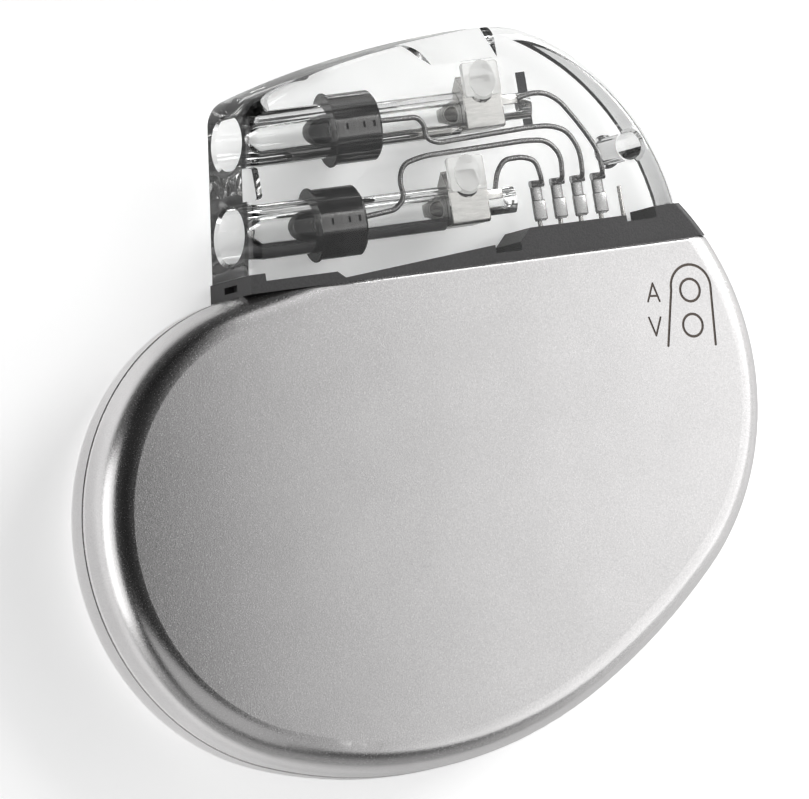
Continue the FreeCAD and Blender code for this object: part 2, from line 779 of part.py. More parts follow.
screws = {}
for name, c in channels.items():
    add("ring_block_" + name, ring_block(c))
    add("ring_spring_" + name, ring_spring(c))
    add("tip_block_" + name, tip_block(c))
    add("set_screw_" + name, set_screw(c))
    add("septum_" + name, septum(c))


# Conductors: straight runs with tangent arcs at each corner
def bend_radius(before, corner, after):
    """Largest tidy radius at a corner, from the shorter run and half the turn."""
    run_in = corner - before
    run_out = after - corner
    turn = run_in.getAngle(run_out)
    return 0.45 * min(run_in.Length, run_out.Length) / math.tan(turn / 2)


def conductor_path(points):
    edges = []
    last = points[0]
    for before, corner, after in zip(points, points[1:], points[2:]):
        run_in = (corner - before).normalize()
        run_out = (after - corner).normalize()
        half = run_in.getAngle(run_out) / 2
        radius = bend_radius(before, corner, after)
        reach = radius * math.tan(half)
        start = corner - run_in * reach
        end = corner + run_out * reach
        inward = (run_out - run_in).normalize()
        middle = corner + inward * (radius / math.cos(half) - radius)
        edges.append(Part.LineSegment(last, start).toShape())
        edges.append(Part.Arc(start, middle, end).toShape())
        last = end
    edges.append(Part.LineSegment(last, points[-1]).toShape())
    return Part.Wire(edges)


def conductor(name, points, tab, contact):
    """One conductor from its weld tab to its contact block, cut to lie against both."""
    path = conductor_path(points)
    profile = Part.Wire(Part.makeCircle(wire_radius, points[0], points[1] - points[0]))
    solid = path.makePipeShell([profile], True, False)
    expected = math.pi * wire_radius ** 2 * path.Length
    radii = [bend_radius(*three) for three in zip(points, points[1:], points[2:])]
    print(name, "length %.2f" % path.Length, "volume ratio %.4f" % (solid.Volume / expected),
          "smallest bend %.2f" % min(radii))
    solid = solid.cut(tab).cut(contact)
    add(name, solid)
    return solid


def tab_start(index):
    """First two points of a conductor: out of the tab's fold, then up to the wiring layer."""
    x = pin_group_x + (index - (pin_count - 1) / 2) * pin_pitch
    y = tab_high_y - wire_start_drop
    return [Vector(x, y, fold_z), Vector(x, y + 0.03, wire_z)]


def in_layer(points):
    return [Vector(x, y, wire_z) for x, y in points]


upper = channels["upper"]
lower = channels["lower"]
lower_tail_top = Vector(lower["tip"] + tip_length + 0.65, lower["y"] + tail_high, wire_z)
upper_tail_end = Vector(upper["tip"] + tip_length + tail_length, upper["y"] + 0.42, wire_z)
lower_ring_end = Vector(lower["ring"] + ring_length, lower["y"] + 0.05, wire_z)
upper_ring_end = Vector(upper["ring"] + ring_length, upper["y"] + 0.1, wire_z)

route_1 = tab_start(0) + in_layer([(11.05, 14.15), (10.1, 14.5), (8.75, 14.45), (8.1, 13.75)])
route_2 = tab_start(1) + in_layer([(12.95, 14.35), (12.1, 15.35), (10.5, 15.5), (6.4, 15.4), (2.9, 15.35),
                                   (1.35, 15.0), (0.85, 14.0), (1.05, 12.9), (0.3, 12.2)])
route_3 = tab_start(2) + in_layer([(14.4, 14.5), (13.7, 15.8), (12.5, 16.25), (11.1, 16.3), (6.5, 16.15),
                                   (4.1, 16.05), (3.3, 16.45), (3.35, 17.3), (2.9, 17.85)])
route_4 = tab_start(3) + in_layer([(15.75, 14.3), (14.7, 16.1), (13.5, 17.75), (12.55, 18.35), (11.5, 18.45)])
conductors = [
    conductor("conductor_1", route_1 + [lower_tail_top], tabs[0], nodes["tip_block_lower"]),
    conductor("conductor_2", route_2 + [lower_ring_end], tabs[1], nodes["ring_block_lower"]),
    conductor("conductor_3", route_3 + [upper_ring_end], tabs[2], nodes["ring_block_upper"]),
    conductor("conductor_4", route_4 + [upper_tail_end], tabs[3], nodes["tip_block_upper"]),
]

marker = box(marker_x - marker_width / 2, marker_x + marker_width / 2, marker_low_y, marker_high_y,
             marker_z - marker_thickness / 2, marker_z + marker_thickness / 2)
add("radiopaque_marker", marker)


# Header resin: the block without everything that is cast into it, and with its open bores
def port_cavities(c):
    mouth_x = left_face_x(c["y"])
    ring_end = c["ring"] + ring_length
    tip_end = c["tip"] + tip_length
    mouth = Vector(mouth_x, c["y"], mid_z)
    outward = normal(left_normal)
    chamfer = Part.makeCone(mouth_radius + 2 * mouth_chamfer, mouth_radius - mouth_chamfer,
                            3 * mouth_chamfer, mouth + outward * mouth_chamfer, outward * -1)
    pieces = [
        chamfer,
        along(c, -far, c["ring"], mouth_radius),
        along(c, c["ring"], ring_end, ring_outer_radius),
        along(c, c["ring"], c["ring"] + ring_collar_length, ring_collar_radius),
        along(c, ring_end, c["tip"], seal_radius),
        tip_envelope(c),
        along(c, tip_end, c["bore_end"], pin_bore_radius),
        tilted(c, septum_neck_radius, pin_bore_radius, septum_start),
        septum(c),
    ]
    return pieces


resin = header_block()
hand_in_recess = Part.makeBox(recess_right_x - recess_left_x, far, far, Vector(recess_left_x, 0, 0))
hand_in_recess.rotate(Vector(recess_left_x, 0, 0), Vector(1, 0, 0), -screw_tilt)
hand_in_recess.translate(Vector(0, recess_low_y, header_high_z))
resin = resin.cut(hand_in_recess)
notch = box(-far, left_face_x((notch_low_y + notch_high_y) / 2) + notch_length, notch_low_y, notch_high_y,
            header_high_z - notch_depth, far)
resin = resin.cut(notch)
suture_low = Vector(suture_x, suture_y, header_low_z)
suture_high = Vector(suture_x, suture_y, header_high_z)
resin = resin.cut(cylinder(suture_radius, suture_low, suture_high))
for rim_point, inward in ((suture_low, Vector(0, 0, 1)), (suture_high, Vector(0, 0, -1))):
    countersink = Part.makeCone(suture_radius + suture_chamfer, suture_radius, suture_chamfer,
                                rim_point, inward)
    resin = resin.cut(countersink)
cast_in = [base_block(), pin_group, ground_pin] + tabs + conductors + [marker]
cast_in += [ferrule.cut(insulator_hole), insulator]
for c in channels.values():
    cast_in += port_cavities(c)
for piece in cast_in:
    resin = resin.cut(piece)
add("header_body", resin)

for name, shape in nodes.items():
    if not shape.isValid():
        print("not valid:", name)
    if shape.ShapeType == "Compound" and len(shape.Solids) == 1:
        print("single compound:", name)
    print("%-22s solids %d volume %.3f" % (name, len(shape.Solids), shape.Volume))
total = Part.makeCompound(list(nodes.values())).BoundBox
print("box", [round(v, 3) for v in (total.XMin, total.XMax, total.YMin, total.YMax, total.ZMin, total.ZMax)])
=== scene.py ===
import math
from types import SimpleNamespace

import bmesh
import bpy
from bpy.props import FloatProperty, FloatVectorProperty, PointerProperty
from mathutils import Matrix, Vector


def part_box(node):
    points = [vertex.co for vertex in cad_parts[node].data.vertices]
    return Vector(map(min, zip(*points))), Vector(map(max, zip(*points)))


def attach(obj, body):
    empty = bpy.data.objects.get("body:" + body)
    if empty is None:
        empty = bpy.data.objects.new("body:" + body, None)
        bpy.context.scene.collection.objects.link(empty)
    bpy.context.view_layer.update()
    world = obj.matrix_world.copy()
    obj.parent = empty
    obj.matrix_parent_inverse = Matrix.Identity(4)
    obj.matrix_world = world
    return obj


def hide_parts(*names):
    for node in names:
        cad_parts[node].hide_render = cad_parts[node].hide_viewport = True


bl_info = {
    "name": "Cardiac pacemaker",
    "version": (1, 0, 0),
    "blender": (4, 5, 0),
    "location": "3D View > Sidebar > Pacemaker",
    "description": "Shells, cast header, contacts and finishes of an implantable pulse generator",
    "category": "Add Mesh",
}

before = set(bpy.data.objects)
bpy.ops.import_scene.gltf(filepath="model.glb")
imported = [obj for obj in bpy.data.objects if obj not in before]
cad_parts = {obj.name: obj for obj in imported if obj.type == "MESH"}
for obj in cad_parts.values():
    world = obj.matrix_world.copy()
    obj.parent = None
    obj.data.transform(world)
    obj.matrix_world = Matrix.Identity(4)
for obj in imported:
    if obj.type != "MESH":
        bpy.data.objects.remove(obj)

# Pieces are modelled in millimetres and brought to metres when they are placed.
MM = 0.001
BODY = "generator"
# Longer than any piece, for tools that cut right through
ROOM = 60.0
# The arc that rounds the can's right side, which the rail's end follows
RIGHT_CENTRE = Vector((7.8, -0.2, 0.0))
RIGHT_RADIUS = 17.2


def length(name, description, millimetres):
    """A length that is stored in metres, given here in millimetres."""
    return FloatProperty(name=name, description=description, default=millimetres * MM,
                         unit="LENGTH", precision=5)


def tint(name, description, colour):
    """A colour in linear light."""
    return FloatVectorProperty(name=name, description=description, default=colour, size=3,
                               min=0.0, max=1.0, subtype="COLOR")


def middle(node, axis):
    """Middle of a CAD node along an axis, in millimetres."""
    low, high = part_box(node)
    return (low[axis] + high[axis]) / 2 / MM


def reach(node, axis):
    """Lowest and highest point of a CAD node along an axis, in millimetres."""
    low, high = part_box(node)
    return low[axis] / MM, high[axis] / MM


class PacemakerCanSizes(bpy.types.PropertyGroup):
    thickness: length("Thickness", "Front face to rear face", 6.0)
    joint_y: length("Joint", "Height of the joint with the header", 8.03)


class PacemakerHeaderSizes(bpy.types.PropertyGroup):
    thickness: length("Thickness", "Front face to rear face", 5.2)
    edge_radius: length("Edge radius", "Rounding of the cast resin's front edges", 0.9)
    rear_radius: length("Rear edge radius", "Rounding of the cast resin's rear edges", 0.35)
    draft: length("Draft", "How far the top leans in towards the front face", 0.45)
    mouth_radius: length("Mouth radius", "Lead port at its mouth", 1.75)
    mouth_chamfer: length("Mouth chamfer", "Chamfer at the lead port's mouth", 0.2)
    seal_radius: length("Seal radius", "Lead port between the contacts", 1.4)
    pin_radius: length("Pin bore radius", "Bore for the lead's pin", 0.85)
    suture_radius: length("Suture hole radius", "Hole for a suture", 0.9)


class PacemakerContactSizes(bpy.types.PropertyGroup):
    ring_radius: length("Ring radius", "Outside of the ring contact", 2.25)
    collar_radius: length("Collar radius", "Collar of the ring contact", 2.38)
    collar_length: length("Collar length", "Collar of the ring contact along the bore", 0.18)
    window_height: length("Window height", "Windows in the ring contact", 0.4)
    window_depth: length("Window depth", "Windows in the ring contact", 0.22)
    spring_wire: length("Spring wire radius", "Wire of the coiled contact spring", 0.065)
    tip_height: length("Tip height", "Tip contact block across the bore", 2.5)
    tip_depth: length("Tip depth", "Tip contact block front to rear", 4.0)
    boss_width: length("Boss width", "Boss round the set screw", 2.4)
    boss_reach: length("Boss reach", "Boss along the set screw's axis", 2.25)
    screw_radius: length("Screw radius", "Set screw over its thread", 0.85)
    screw_length: length("Screw length", "Set screw along its axis", 1.2)
    screw_start: length("Screw start", "Screw's point from the bore's axis", 0.95)
    neck_radius: length("Neck radius", "Neck of the septum", 0.95)


class PacemakerFinishes(bpy.types.PropertyGroup):
    titanium: tint("Titanium", "Bead blasted titanium of the can", (0.67, 0.66, 0.66))
    rail: tint("Rail", "Dark metal of the header's base", (0.06, 0.059, 0.06))
    resin: tint("Resin", "Clear cast resin", (0.95, 0.955, 0.95))
    contact: tint("Contact metal", "Polished contact blocks", (0.155, 0.153, 0.152))
    tip: tint("Tip metal", "Tip contact blocks and screws", (0.70, 0.69, 0.67))
    wire: tint("Wire", "Bare conductors", (0.27, 0.267, 0.265))
    silicone: tint("Silicone", "Septum over the set screw", (0.93, 0.93, 0.92))
    marks: tint("Marks", "Engraved marks", (0.10, 0.085, 0.075))


def measures(group):
    """The group's lengths in millimetres."""
    names = type(group).__annotations__
    return SimpleNamespace(**{name: getattr(group, name) / MM for name in names})


# Drawing with bmesh operators

# How far a drawn arc's edges may lie inside the true arc
ARC_SAG = 0.0015
# Faces that meet at more than this angle, in degrees, keep a sharp edge
CREASE = 32.0


def ray(degrees, distance=1.0):
    """A step in the XY plane, at an angle from the X axis."""
    turn = math.radians(degrees)
    return Vector((math.cos(turn), math.sin(turn), 0.0)) * distance


def only(geometry, kind):
    """Those items of an operator's result that are of one kind."""
    return [g for g in geometry if isinstance(g, kind)]


def point(bm, spot):
    """A new vertex, from which an outline is drawn."""
    return bmesh.ops.create_vert(bm, co=spot)["vert"][0]


def run_to(bm, vert, spot):
    """A straight edge from a vertex to a spot. Gives the vertex at its end."""
    made = bmesh.ops.extrude_vert_indiv(bm, verts=[vert])["verts"]
    bmesh.ops.translate(bm, vec=Vector(spot) - vert.co, verts=made)
    return made[0]


def arc_about(bm, vert, centre, degrees):
    """An arc from a vertex about a centre, counted anticlockwise. Gives the vertex at its end."""
    radius = (vert.co - centre).length
    step = 2.0 * math.acos(1.0 - ARC_SAG / radius)
    steps = max(2, math.ceil(abs(math.radians(degrees)) / step))
    made = bmesh.ops.spin(bm, geom=[vert], cent=centre, axis=(0, 0, 1), dvec=(0, 0, 0),
                          angle=math.radians(degrees), steps=steps, use_merge=False)
    return only(made["geom_last"], bmesh.types.BMVert)[0]


def raised(bm, z0, z1):
    """Closes the loop drawn in bm and raises it between two heights."""
    bmesh.ops.remove_doubles(bm, verts=bm.verts, dist=1e-4)
    face = bmesh.ops.contextual_create(bm, geom=bm.edges[:])["faces"][0]
    bmesh.ops.translate(bm, vec=(0, 0, z0), verts=bm.verts)
    made = bmesh.ops.extrude_face_region(bm, geom=[face])["geom"]
    bmesh.ops.translate(bm, vec=(0, 0, z1 - z0), verts=only(made, bmesh.types.BMVert))
    bmesh.ops.recalc_face_normals(bm, faces=bm.faces)


def polygon(bm, spots, z0, z1):
    """A prism with a straight-sided outline between two heights."""
    vert = point(bm, (*spots[0], 0))
    for spot in spots[1:] + spots[:1]:
        vert = run_to(bm, vert, (*spot, 0))
    raised(bm, z0, z1)


def rounded(bm, edges, radius, segments):
    """Rounds edges, or chamfers them in a few steps."""
    bmesh.ops.bevel(bm, geom=edges, offset=radius, offset_type="OFFSET", segments=segments,
                    profile=0.5, affect="EDGES", material=-1)


def rim_edges(bm, z0, z1, wanted=None):
    """Edges that lie in one of the two end planes, and pass a test on their middle."""
    found = []
    for edge in bm.edges:
        a, b = (v.co for v in edge.verts)
        level = min(abs(a.z - z0), abs(a.z - z1)) < 1e-4 and abs(a.z - b.z) < 1e-4
        if level and (wanted is None or wanted((a + b) / 2)):
            found.append(edge)
    return found


def cut_above(bm, z):
    """Removes what lies above a height and closes the cut."""
    made = bmesh.ops.bisect_plane(bm, geom=bm.verts[:] + bm.edges[:] + bm.faces[:],
                                  plane_co=(0, 0, z), plane_no=(0, 0, 1), clear_outer=True,
                                  dist=1e-5)
    bmesh.ops.triangle_fill(bm, use_beauty=True, use_dissolve=True,
                            edges=only(made["geom_cut"], bmesh.types.BMEdge))
    bmesh.ops.recalc_face_normals(bm, faces=bm.faces)


def box(bm, x0, x1, y0, y1, z0, z1):
    """A box between two corners. Gives its vertices."""
    made = bmesh.ops.create_cube(bm, size=1.0)["verts"]
    bmesh.ops.scale(bm, vec=(x1 - x0, y1 - y0, z1 - z0), verts=made)
    bmesh.ops.translate(bm, vec=((x0 + x1) / 2, (y0 + y1) / 2, (z0 + z1) / 2), verts=made)
    return made


def turned(bm, profile, steps, about=(0, 0, 0)):
    """A profile of (along, radius) spots turned round the X axis through a spot."""
    vert = point(bm, (profile[0][0], profile[0][1], 0))
    for along, radius in profile[1:]:
        vert = run_to(bm, vert, (along, radius, 0))
    bmesh.ops.spin(bm, geom=bm.verts[:] + bm.edges[:], cent=(0, 0, 0), axis=(1, 0, 0),
                   dvec=(0, 0, 0), angle=math.tau, steps=steps, use_merge=True)
    bmesh.ops.remove_doubles(bm, verts=bm.verts, dist=1e-5)
    bmesh.ops.recalc_face_normals(bm, faces=bm.faces)
    bmesh.ops.translate(bm, vec=about, verts=bm.verts)


def mesh_from(bm, name):
    """Turns a finished bmesh into a mesh and frees it."""
    mesh = bpy.data.meshes.new(name)
    bm.to_mesh(mesh)
    bm.free()
    return mesh


def loose(bm, name):
    """A working object, in millimetres."""
    obj = bpy.data.objects.new(name, mesh_from(bm, name))
    bpy.context.scene.collection.objects.link(obj)
    return obj


def combine(obj, tools, operation):
    """Joins tools to obj or cuts them from it, one after the other, and removes them."""
    for tool in tools:
        step = obj.modifiers.new("combine", "BOOLEAN")
        step.operation = operation
        step.solver = "EXACT"
        step.object = tool
        step.material_mode = "TRANSFER"
        graph = bpy.context.evaluated_depsgraph_get()
        mesh = bpy.data.meshes.new_from_object(
            obj.evaluated_get(graph), preserve_all_data_layers=True, depsgraph=graph)
        obj.modifiers.clear()
        old = obj.data
        obj.data = mesh
        bpy.data.meshes.remove(old)
        tool_mesh = tool.data
        bpy.data.objects.remove(tool)
        bpy.data.meshes.remove(tool_mesh)
    return obj


def place(obj, name, slot, stands_for, look=None, body=BODY):
    """Brings a piece to metres, smooths it, and hangs it on its CAD body.

    It takes its slot's finish, or that of the slot named as its look."""
    obj.name = name
    obj.data.name = name
    obj.data.materials.clear()
    obj.data.materials.append(finish_of(look or slot))
    obj.data.transform(Matrix.Scale(MM, 4))
    obj.data.shade_smooth()
    obj.data.set_sharp_from_angle(angle=math.radians(CREASE))
    even = obj.modifiers.new("even shading", "WEIGHTED_NORMAL")
    even.keep_sharp = True
    even.weight = 50
    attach(obj, body)
    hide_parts(stands_for)


# Finishes


def put(tree, kind, inputs=None, **settings):
    """Adds a node, sets its options, and sets or links its inputs."""
    made = tree.nodes.new(kind)
    for key, value in settings.items():
        setattr(made, key, value)
    for key, value in (inputs or {}).items():
        if isinstance(value, bpy.types.NodeSocket):
            tree.links.new(value, made.inputs[key])
        else:
            made.inputs[key].default_value = value
    return made


def shade(colour, factor=1.0):
    """A colour, brighter or darker by a factor, as a shader's socket takes it."""
    return tuple(min(1.0, c * factor) for c in colour[:3]) + (1.0,)


def ramp(tree, fac, stops):
    """A colour ramp with stops of (place, colour)."""
    made = put(tree, "ShaderNodeValToRGB", {"Fac": fac})
    bar = made.color_ramp
    while len(bar.elements) < len(stops):
        bar.elements.new(0.5)
    for element, (spot, colour) in zip(bar.elements, stops):
        element.position = spot
        element.color = colour
    return made.outputs["Color"]


def grey(level):
    """A grey, as a shader's socket takes it."""
    return (level, level, level, 1.0)


def mixed(tree, fac, a, b, blend="MIX"):
    """Two colours mixed by a number or a pattern."""
    made = put(tree, "ShaderNodeMix", {0: fac, 6: a, 7: b}, data_type="RGBA", blend_type=blend)
    return made.outputs[2]


# Size of the slow patches of colour in millimetres, and the grain's height over its size
PATCH_SIZE = 5
GRAIN_HEIGHT = 0.35


def finish(name, colour, metallic=0.0, roughness=0.5, grain=0.1, spread=0.1, relief=0.2,
           stretch=(1, 1, 1), uneven=0.06, patch=0.0, constants=None):
    """A finish with grain of a size in millimetres in its colour, gloss and relief.

    patch adds slow variation of colour over some millimetres. Gives the material, its shader
    and the coordinates, for patterns that are added on top."""
    material = bpy.data.materials.new(name)
    material.use_nodes = True
    tree = material.node_tree
    tree.nodes.clear()
    where = put(tree, "ShaderNodeTexCoord").outputs["Object"]
    drawn_out = put(tree, "ShaderNodeMapping",
                    {"Vector": where, "Scale": [1 / s for s in stretch]})
    noise = put(tree, "ShaderNodeTexNoise", {"Vector": drawn_out.outputs[0], "Detail": 3.0,
                                             "Scale": 1 / (grain * MM), "Roughness": 0.6})
    base = ramp(tree, noise.outputs["Fac"], [(0.3, shade(colour, 1 - spread)),
                                             (0.7, shade(colour, 1 + spread))])
    if patch:
        slow = put(tree, "ShaderNodeTexNoise",
                   {"Vector": where, "Scale": 1 / (PATCH_SIZE * MM), "Detail": 2.0})
        tone = ramp(tree, slow.outputs["Fac"], [(0.3, grey(1 - patch)), (0.7, grey(1.0))])
        base = mixed(tree, 1.0, base, tone, "MULTIPLY")
    gloss = put(tree, "ShaderNodeMapRange",
                {"Value": noise.outputs["Fac"], "From Min": 0.3, "From Max": 0.7,
                 "To Min": max(0.0, roughness - uneven), "To Max": roughness + uneven})
    bump = put(tree, "ShaderNodeBump", {"Height": noise.outputs["Fac"], "Strength": relief,
                                        "Distance": grain * MM * GRAIN_HEIGHT})
    shader = put(tree, "ShaderNodeBsdfPrincipled",
                 {"Base Color": base, "Roughness": gloss.outputs[0], "Normal": bump.outputs[0]})
    shader.inputs["Metallic"].default_value = metallic
    for key, value in (constants or {}).items():
        shader.inputs[key].default_value = value
    out = put(tree, "ShaderNodeOutputMaterial", {"Surface": shader.outputs[0]})
    return SimpleNamespace(material=material, tree=tree, shader=shader, where=where, base=base,
                           bump=bump, out=out)


def recolour(made, fac, low, high):
    """Mixes the base colour between two shades by a pattern."""
    made.base = mixed(made.tree, fac, low, high)
    made.tree.links.new(made.base, made.shader.inputs["Base Color"])


def add_relief(made, height, strength, distance_mm):
    """A second relief on top of the grain's."""
    bump = put(made.tree, "ShaderNodeBump", {"Height": height, "Strength": strength,
                                             "Distance": distance_mm * MM,
                                             "Normal": made.bump.outputs[0]})
    made.tree.links.new(bump.outputs[0], made.shader.inputs["Normal"])


def lit_through(made):
    """Lets light reach what is behind a clear piece: its shadow is clear too."""
    ray_kind = put(made.tree, "ShaderNodeLightPath").outputs["Is Shadow Ray"]
    clear = put(made.tree, "ShaderNodeBsdfTransparent", {"Color": grey(0.93)})
    both = put(made.tree, "ShaderNodeMixShader",
               {0: ray_kind, 1: made.shader.outputs[0], 2: clear.outputs[0]})
    made.tree.links.new(both.outputs[0], made.out.inputs["Surface"])


def compare(made, a, operation, b):
    """A sum, a product or a test of two values."""
    return put(made.tree, "ShaderNodeMath", {0: a, 1: b}, operation=operation).outputs[0]


# The engraved marks: how far below the front face, how far in from the can's side, and where
MARK_DEPTHS = (0.012, 0.06)
MARK_MARGIN = 2.03
MARK_BELOW_Y = 7.5
MARK_RIGHT_OF_X = 14.0


def titanium_finish(colours):
    """Blasted titanium. What lies a little under the flat front face is an engraved mark."""
    made = finish("blasted titanium", colours.titanium, 1.0, 0.23, grain=0.085, spread=0.10,
                  relief=0.16, uneven=0.05, patch=0.05)
    tree = made.tree
    face = bpy.context.scene.pacemaker_can.thickness
    along = put(tree, "ShaderNodeSeparateXYZ", {0: made.where}).outputs
    level = put(tree, "ShaderNodeVectorMath", {0: made.where, 1: (1, 1, 0)}, operation="MULTIPLY")
    away = put(tree, "ShaderNodeVectorMath", {0: level.outputs[0], 1: RIGHT_CENTRE * MM},
               operation="DISTANCE").outputs["Value"]
    marks = compare(made, along["Z"], "LESS_THAN", face - MARK_DEPTHS[0] * MM)
    for value, test, limit in (
            (along["Z"], "GREATER_THAN", face - MARK_DEPTHS[1] * MM),
            (away, "LESS_THAN", (RIGHT_RADIUS - MARK_MARGIN) * MM),
            (along["Y"], "LESS_THAN", MARK_BELOW_Y * MM),
            (along["X"], "GREATER_THAN", MARK_RIGHT_OF_X * MM)):
        marks = compare(made, marks, "MULTIPLY", compare(made, value, test, limit))
    recolour(made, marks, made.base, shade(colours.marks))
    return made.material


WELD_RIPPLE = 0.22


def weld_finish(colours):
    """The weld's fine overlapping ripples."""
    # The weld's titanium is painted 1.25 times brighter: painted light that lifts the shade along
    # the weld's line.
    made = finish("weld titanium", shade(colours.titanium, 1.25), 1.0, 0.26, grain=0.05,
                  spread=0.06, relief=0.1)
    ripple = put(made.tree, "ShaderNodeTexVoronoi",
                 {"Vector": made.where, "Scale": 1 / (WELD_RIPPLE * MM)})
    add_relief(made, ripple.outputs["Distance"], 0.35, 0.02)
    return made.material


def resin_finish(colours):
    """Clear resin whose surface flowed a little as it set."""
    made = finish("cast resin", colours.resin, 0.0, 0.02, grain=2.5, spread=0.01, relief=0.015,
                  uneven=0.012, constants={"IOR": 1.5, "Transmission Weight": 1.0})
    lit_through(made)
    return made.material


def silicone_finish(colours):
    """Milky silicone."""
    made = finish("silicone", colours.silicone, 0.0, 0.2, grain=0.6, spread=0.02, relief=0.01,
                  uneven=0.03, constants={"IOR": 1.41, "Transmission Weight": 0.55})
    lit_through(made)
    return made.material


def rail_finish(colours):
    """Dark matt metal with worn patches."""
    return finish("base rail", colours.rail, 0.3, 0.48, grain=0.12, spread=0.2, relief=0.3,
                  patch=0.2).material


def ring_finish(colours):
    """Polished metal with turning marks round the bore."""
    return finish("polished contact", colours.contact, 1.0, 0.13, grain=0.25, spread=0.08,
                  relief=0.05, stretch=(1, 8, 8), uneven=0.03, patch=0.1).material


def tip_finish(colours):
    """Machined metal, brushed along the bore."""
    return finish("machined tip", colours.tip, 1.0, 0.2, grain=0.15, spread=0.07, relief=0.08,
                  stretch=(6, 1, 1), uneven=0.05, patch=0.08).material


def wire_finish(colours):
    """Drawn bare wire."""
    return finish("bare wire", colours.wire, 1.0, 0.28, grain=0.08, spread=0.12, relief=0.15,
                  uneven=0.05).material


# Pitch of the telemetry coil's turns in millimetres. The wave texture has 20 radians to a unit
COIL_PITCH = 0.12
WAVE_UNIT = 0.314


def copper_finish(colours):
    """Fine copper wire in even turns, with painted shade between them."""
    copper = (0.72, 0.33, 0.17)
    made = finish("wound copper", copper, 1.0, 0.3, grain=0.06, spread=0.15, relief=0.1)
    turns = put(made.tree, "ShaderNodeTexWave",
                {"Vector": made.where, "Scale": WAVE_UNIT / (COIL_PITCH * MM)},
                bands_direction="Y").outputs["Fac"]
    # The dark between the turns is painted shade in the grooves between the wires; the same
    # pattern also gives their relief.
    recolour(made, turns, shade(copper, 0.35), made.base)
    add_relief(made, turns, 0.8, 0.04)
    return made.material


def board_finish(colours):
    """Green laminate with raised tracks under its lacquer."""
    green = (0.035, 0.16, 0.075)
    made = finish("circuit board", green, 0.0, 0.35, grain=0.08, spread=0.12, relief=0.1)
    tracks = put(made.tree, "ShaderNodeTexBrick",
                 {"Vector": made.where, "Scale": 1 / MM, "Color1": grey(0.0),
                  "Color2": grey(0.1), "Mortar": grey(1.0), "Mortar Size": 0.07,
                  "Brick Width": 1.1, "Row Height": 0.55})
    recolour(made, tracks.outputs["Color"], made.base, shade((0.08, 0.30, 0.13)))
    add_relief(made, tracks.outputs["Color"], 0.5, 0.03)
    return made.material


PLAIN_FINISHES = {
    # slot: name, colour, metallic, roughness, grain, spread, relief, and how the grain
    # is drawn out where it is
    "liner_film": ("liner film", (0.55, 0.33, 0.08), 0.0, 0.3, 0.4, 0.12, 0.1, (4, 1, 1)),
    "battery_metal": ("battery steel", (0.52, 0.51, 0.50), 1.0, 0.33, 0.12, 0.1, 0.2, (10, 1, 1)),
    "cathode_powder": ("pressed cathode", (0.03, 0.03, 0.032), 0.0, 0.85, 0.06, 0.35, 0.7),
    "lithium": ("lithium", (0.62, 0.61, 0.60), 1.0, 0.45, 0.3, 0.15, 0.3, (3, 1, 1)),
    "seal_glass": ("seal glass", (0.05, 0.12, 0.22), 0.0, 0.12, 0.1, 0.12, 0.05),
    "pin_metal": ("pin metal", (0.66, 0.65, 0.63), 1.0, 0.25, 0.06, 0.1, 0.15, (1, 6, 1)),
    "ribbon_nickel": ("nickel ribbon", (0.66, 0.62, 0.55), 1.0, 0.3, 0.06, 0.1, 0.15, (1, 12, 1)),
    "carrier_plastic": ("moulded carrier", (0.78, 0.77, 0.74), 0.0, 0.45, 0.08, 0.05, 0.25),
    "chip_black": ("chip moulding", (0.025, 0.025, 0.027), 0.0, 0.5, 0.05, 0.3, 0.35),
    "chip_ceramic": ("chip ceramic", (0.30, 0.22, 0.15), 0.0, 0.45, 0.05, 0.12, 0.2),
    "crystal_can": ("crystal can", (0.70, 0.68, 0.64), 1.0, 0.28, 0.08, 0.08, 0.1, (8, 1, 1)),
    "ferrite": ("ferrite", (0.06, 0.055, 0.05), 0.1, 0.55, 0.05, 0.25, 0.35),
    "getter_pellet": ("getter pellet", (0.58, 0.50, 0.42), 0.0, 0.8, 0.08, 0.2, 0.6),
    "ferrule_titanium": ("ferrule titanium", (0.50, 0.49, 0.47), 1.0, 0.32, 0.07, 0.1, 0.2),
    "insulator_ceramic": ("insulator ceramic", (0.82, 0.80, 0.76), 0.0, 0.35, 0.05, 0.05, 0.2),
    "tab_metal": ("tab metal", (0.42, 0.417, 0.415), 1.0, 0.2, 0.06, 0.1, 0.12, (1, 6, 1)),
    "marker_metal": ("marker metal", (0.05, 0.05, 0.052), 0.7, 0.4, 0.08, 0.2, 0.2, (1, 3, 1)),
}


SPECIAL_FINISHES = {
    "titanium_shell": titanium_finish,
    "weld_titanium": weld_finish,
    "header_resin": resin_finish,
    "silicone": silicone_finish,
    "base_metal": rail_finish,
    "contact_metal": ring_finish,
    "screw_metal": tip_finish,
    "conductor_metal": wire_finish,
    "coil_copper": copper_finish,
    "board_laminate": board_finish,
}
made_finishes = {}


def finish_of(slot):
    """The material of a slot of the record, made when it is first asked for."""
    if slot not in made_finishes:
        if slot in SPECIAL_FINISHES:
            made_finishes[slot] = SPECIAL_FINISHES[slot](bpy.context.scene.pacemaker_finishes)
        else:
            made_finishes[slot] = finish(*PLAIN_FINISHES[slot]).material
    return made_finishes[slot]


def dress(slot, *nodes):
    """Gives CAD nodes that are kept their slot's finish."""
    for name in nodes:
        cover(name, finish_of(slot))


def cover(node, material):
    """Gives a CAD node that is kept a material of its own."""
    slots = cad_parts[node].data.materials
    slots.clear()
    slots.append(material)


# Can


class PacemakerShells(bpy.types.Operator):
    """Titanium finish of the drawn shells, and the weld between them"""

    bl_idname = "pacemaker.shells"
    bl_label = "Shells and weld"

    def execute(self, context):
        dress("titanium_shell", "front_shell", "rear_shell")
        dress("weld_titanium", "weld_ring")
        return {"FINISHED"}


# Header

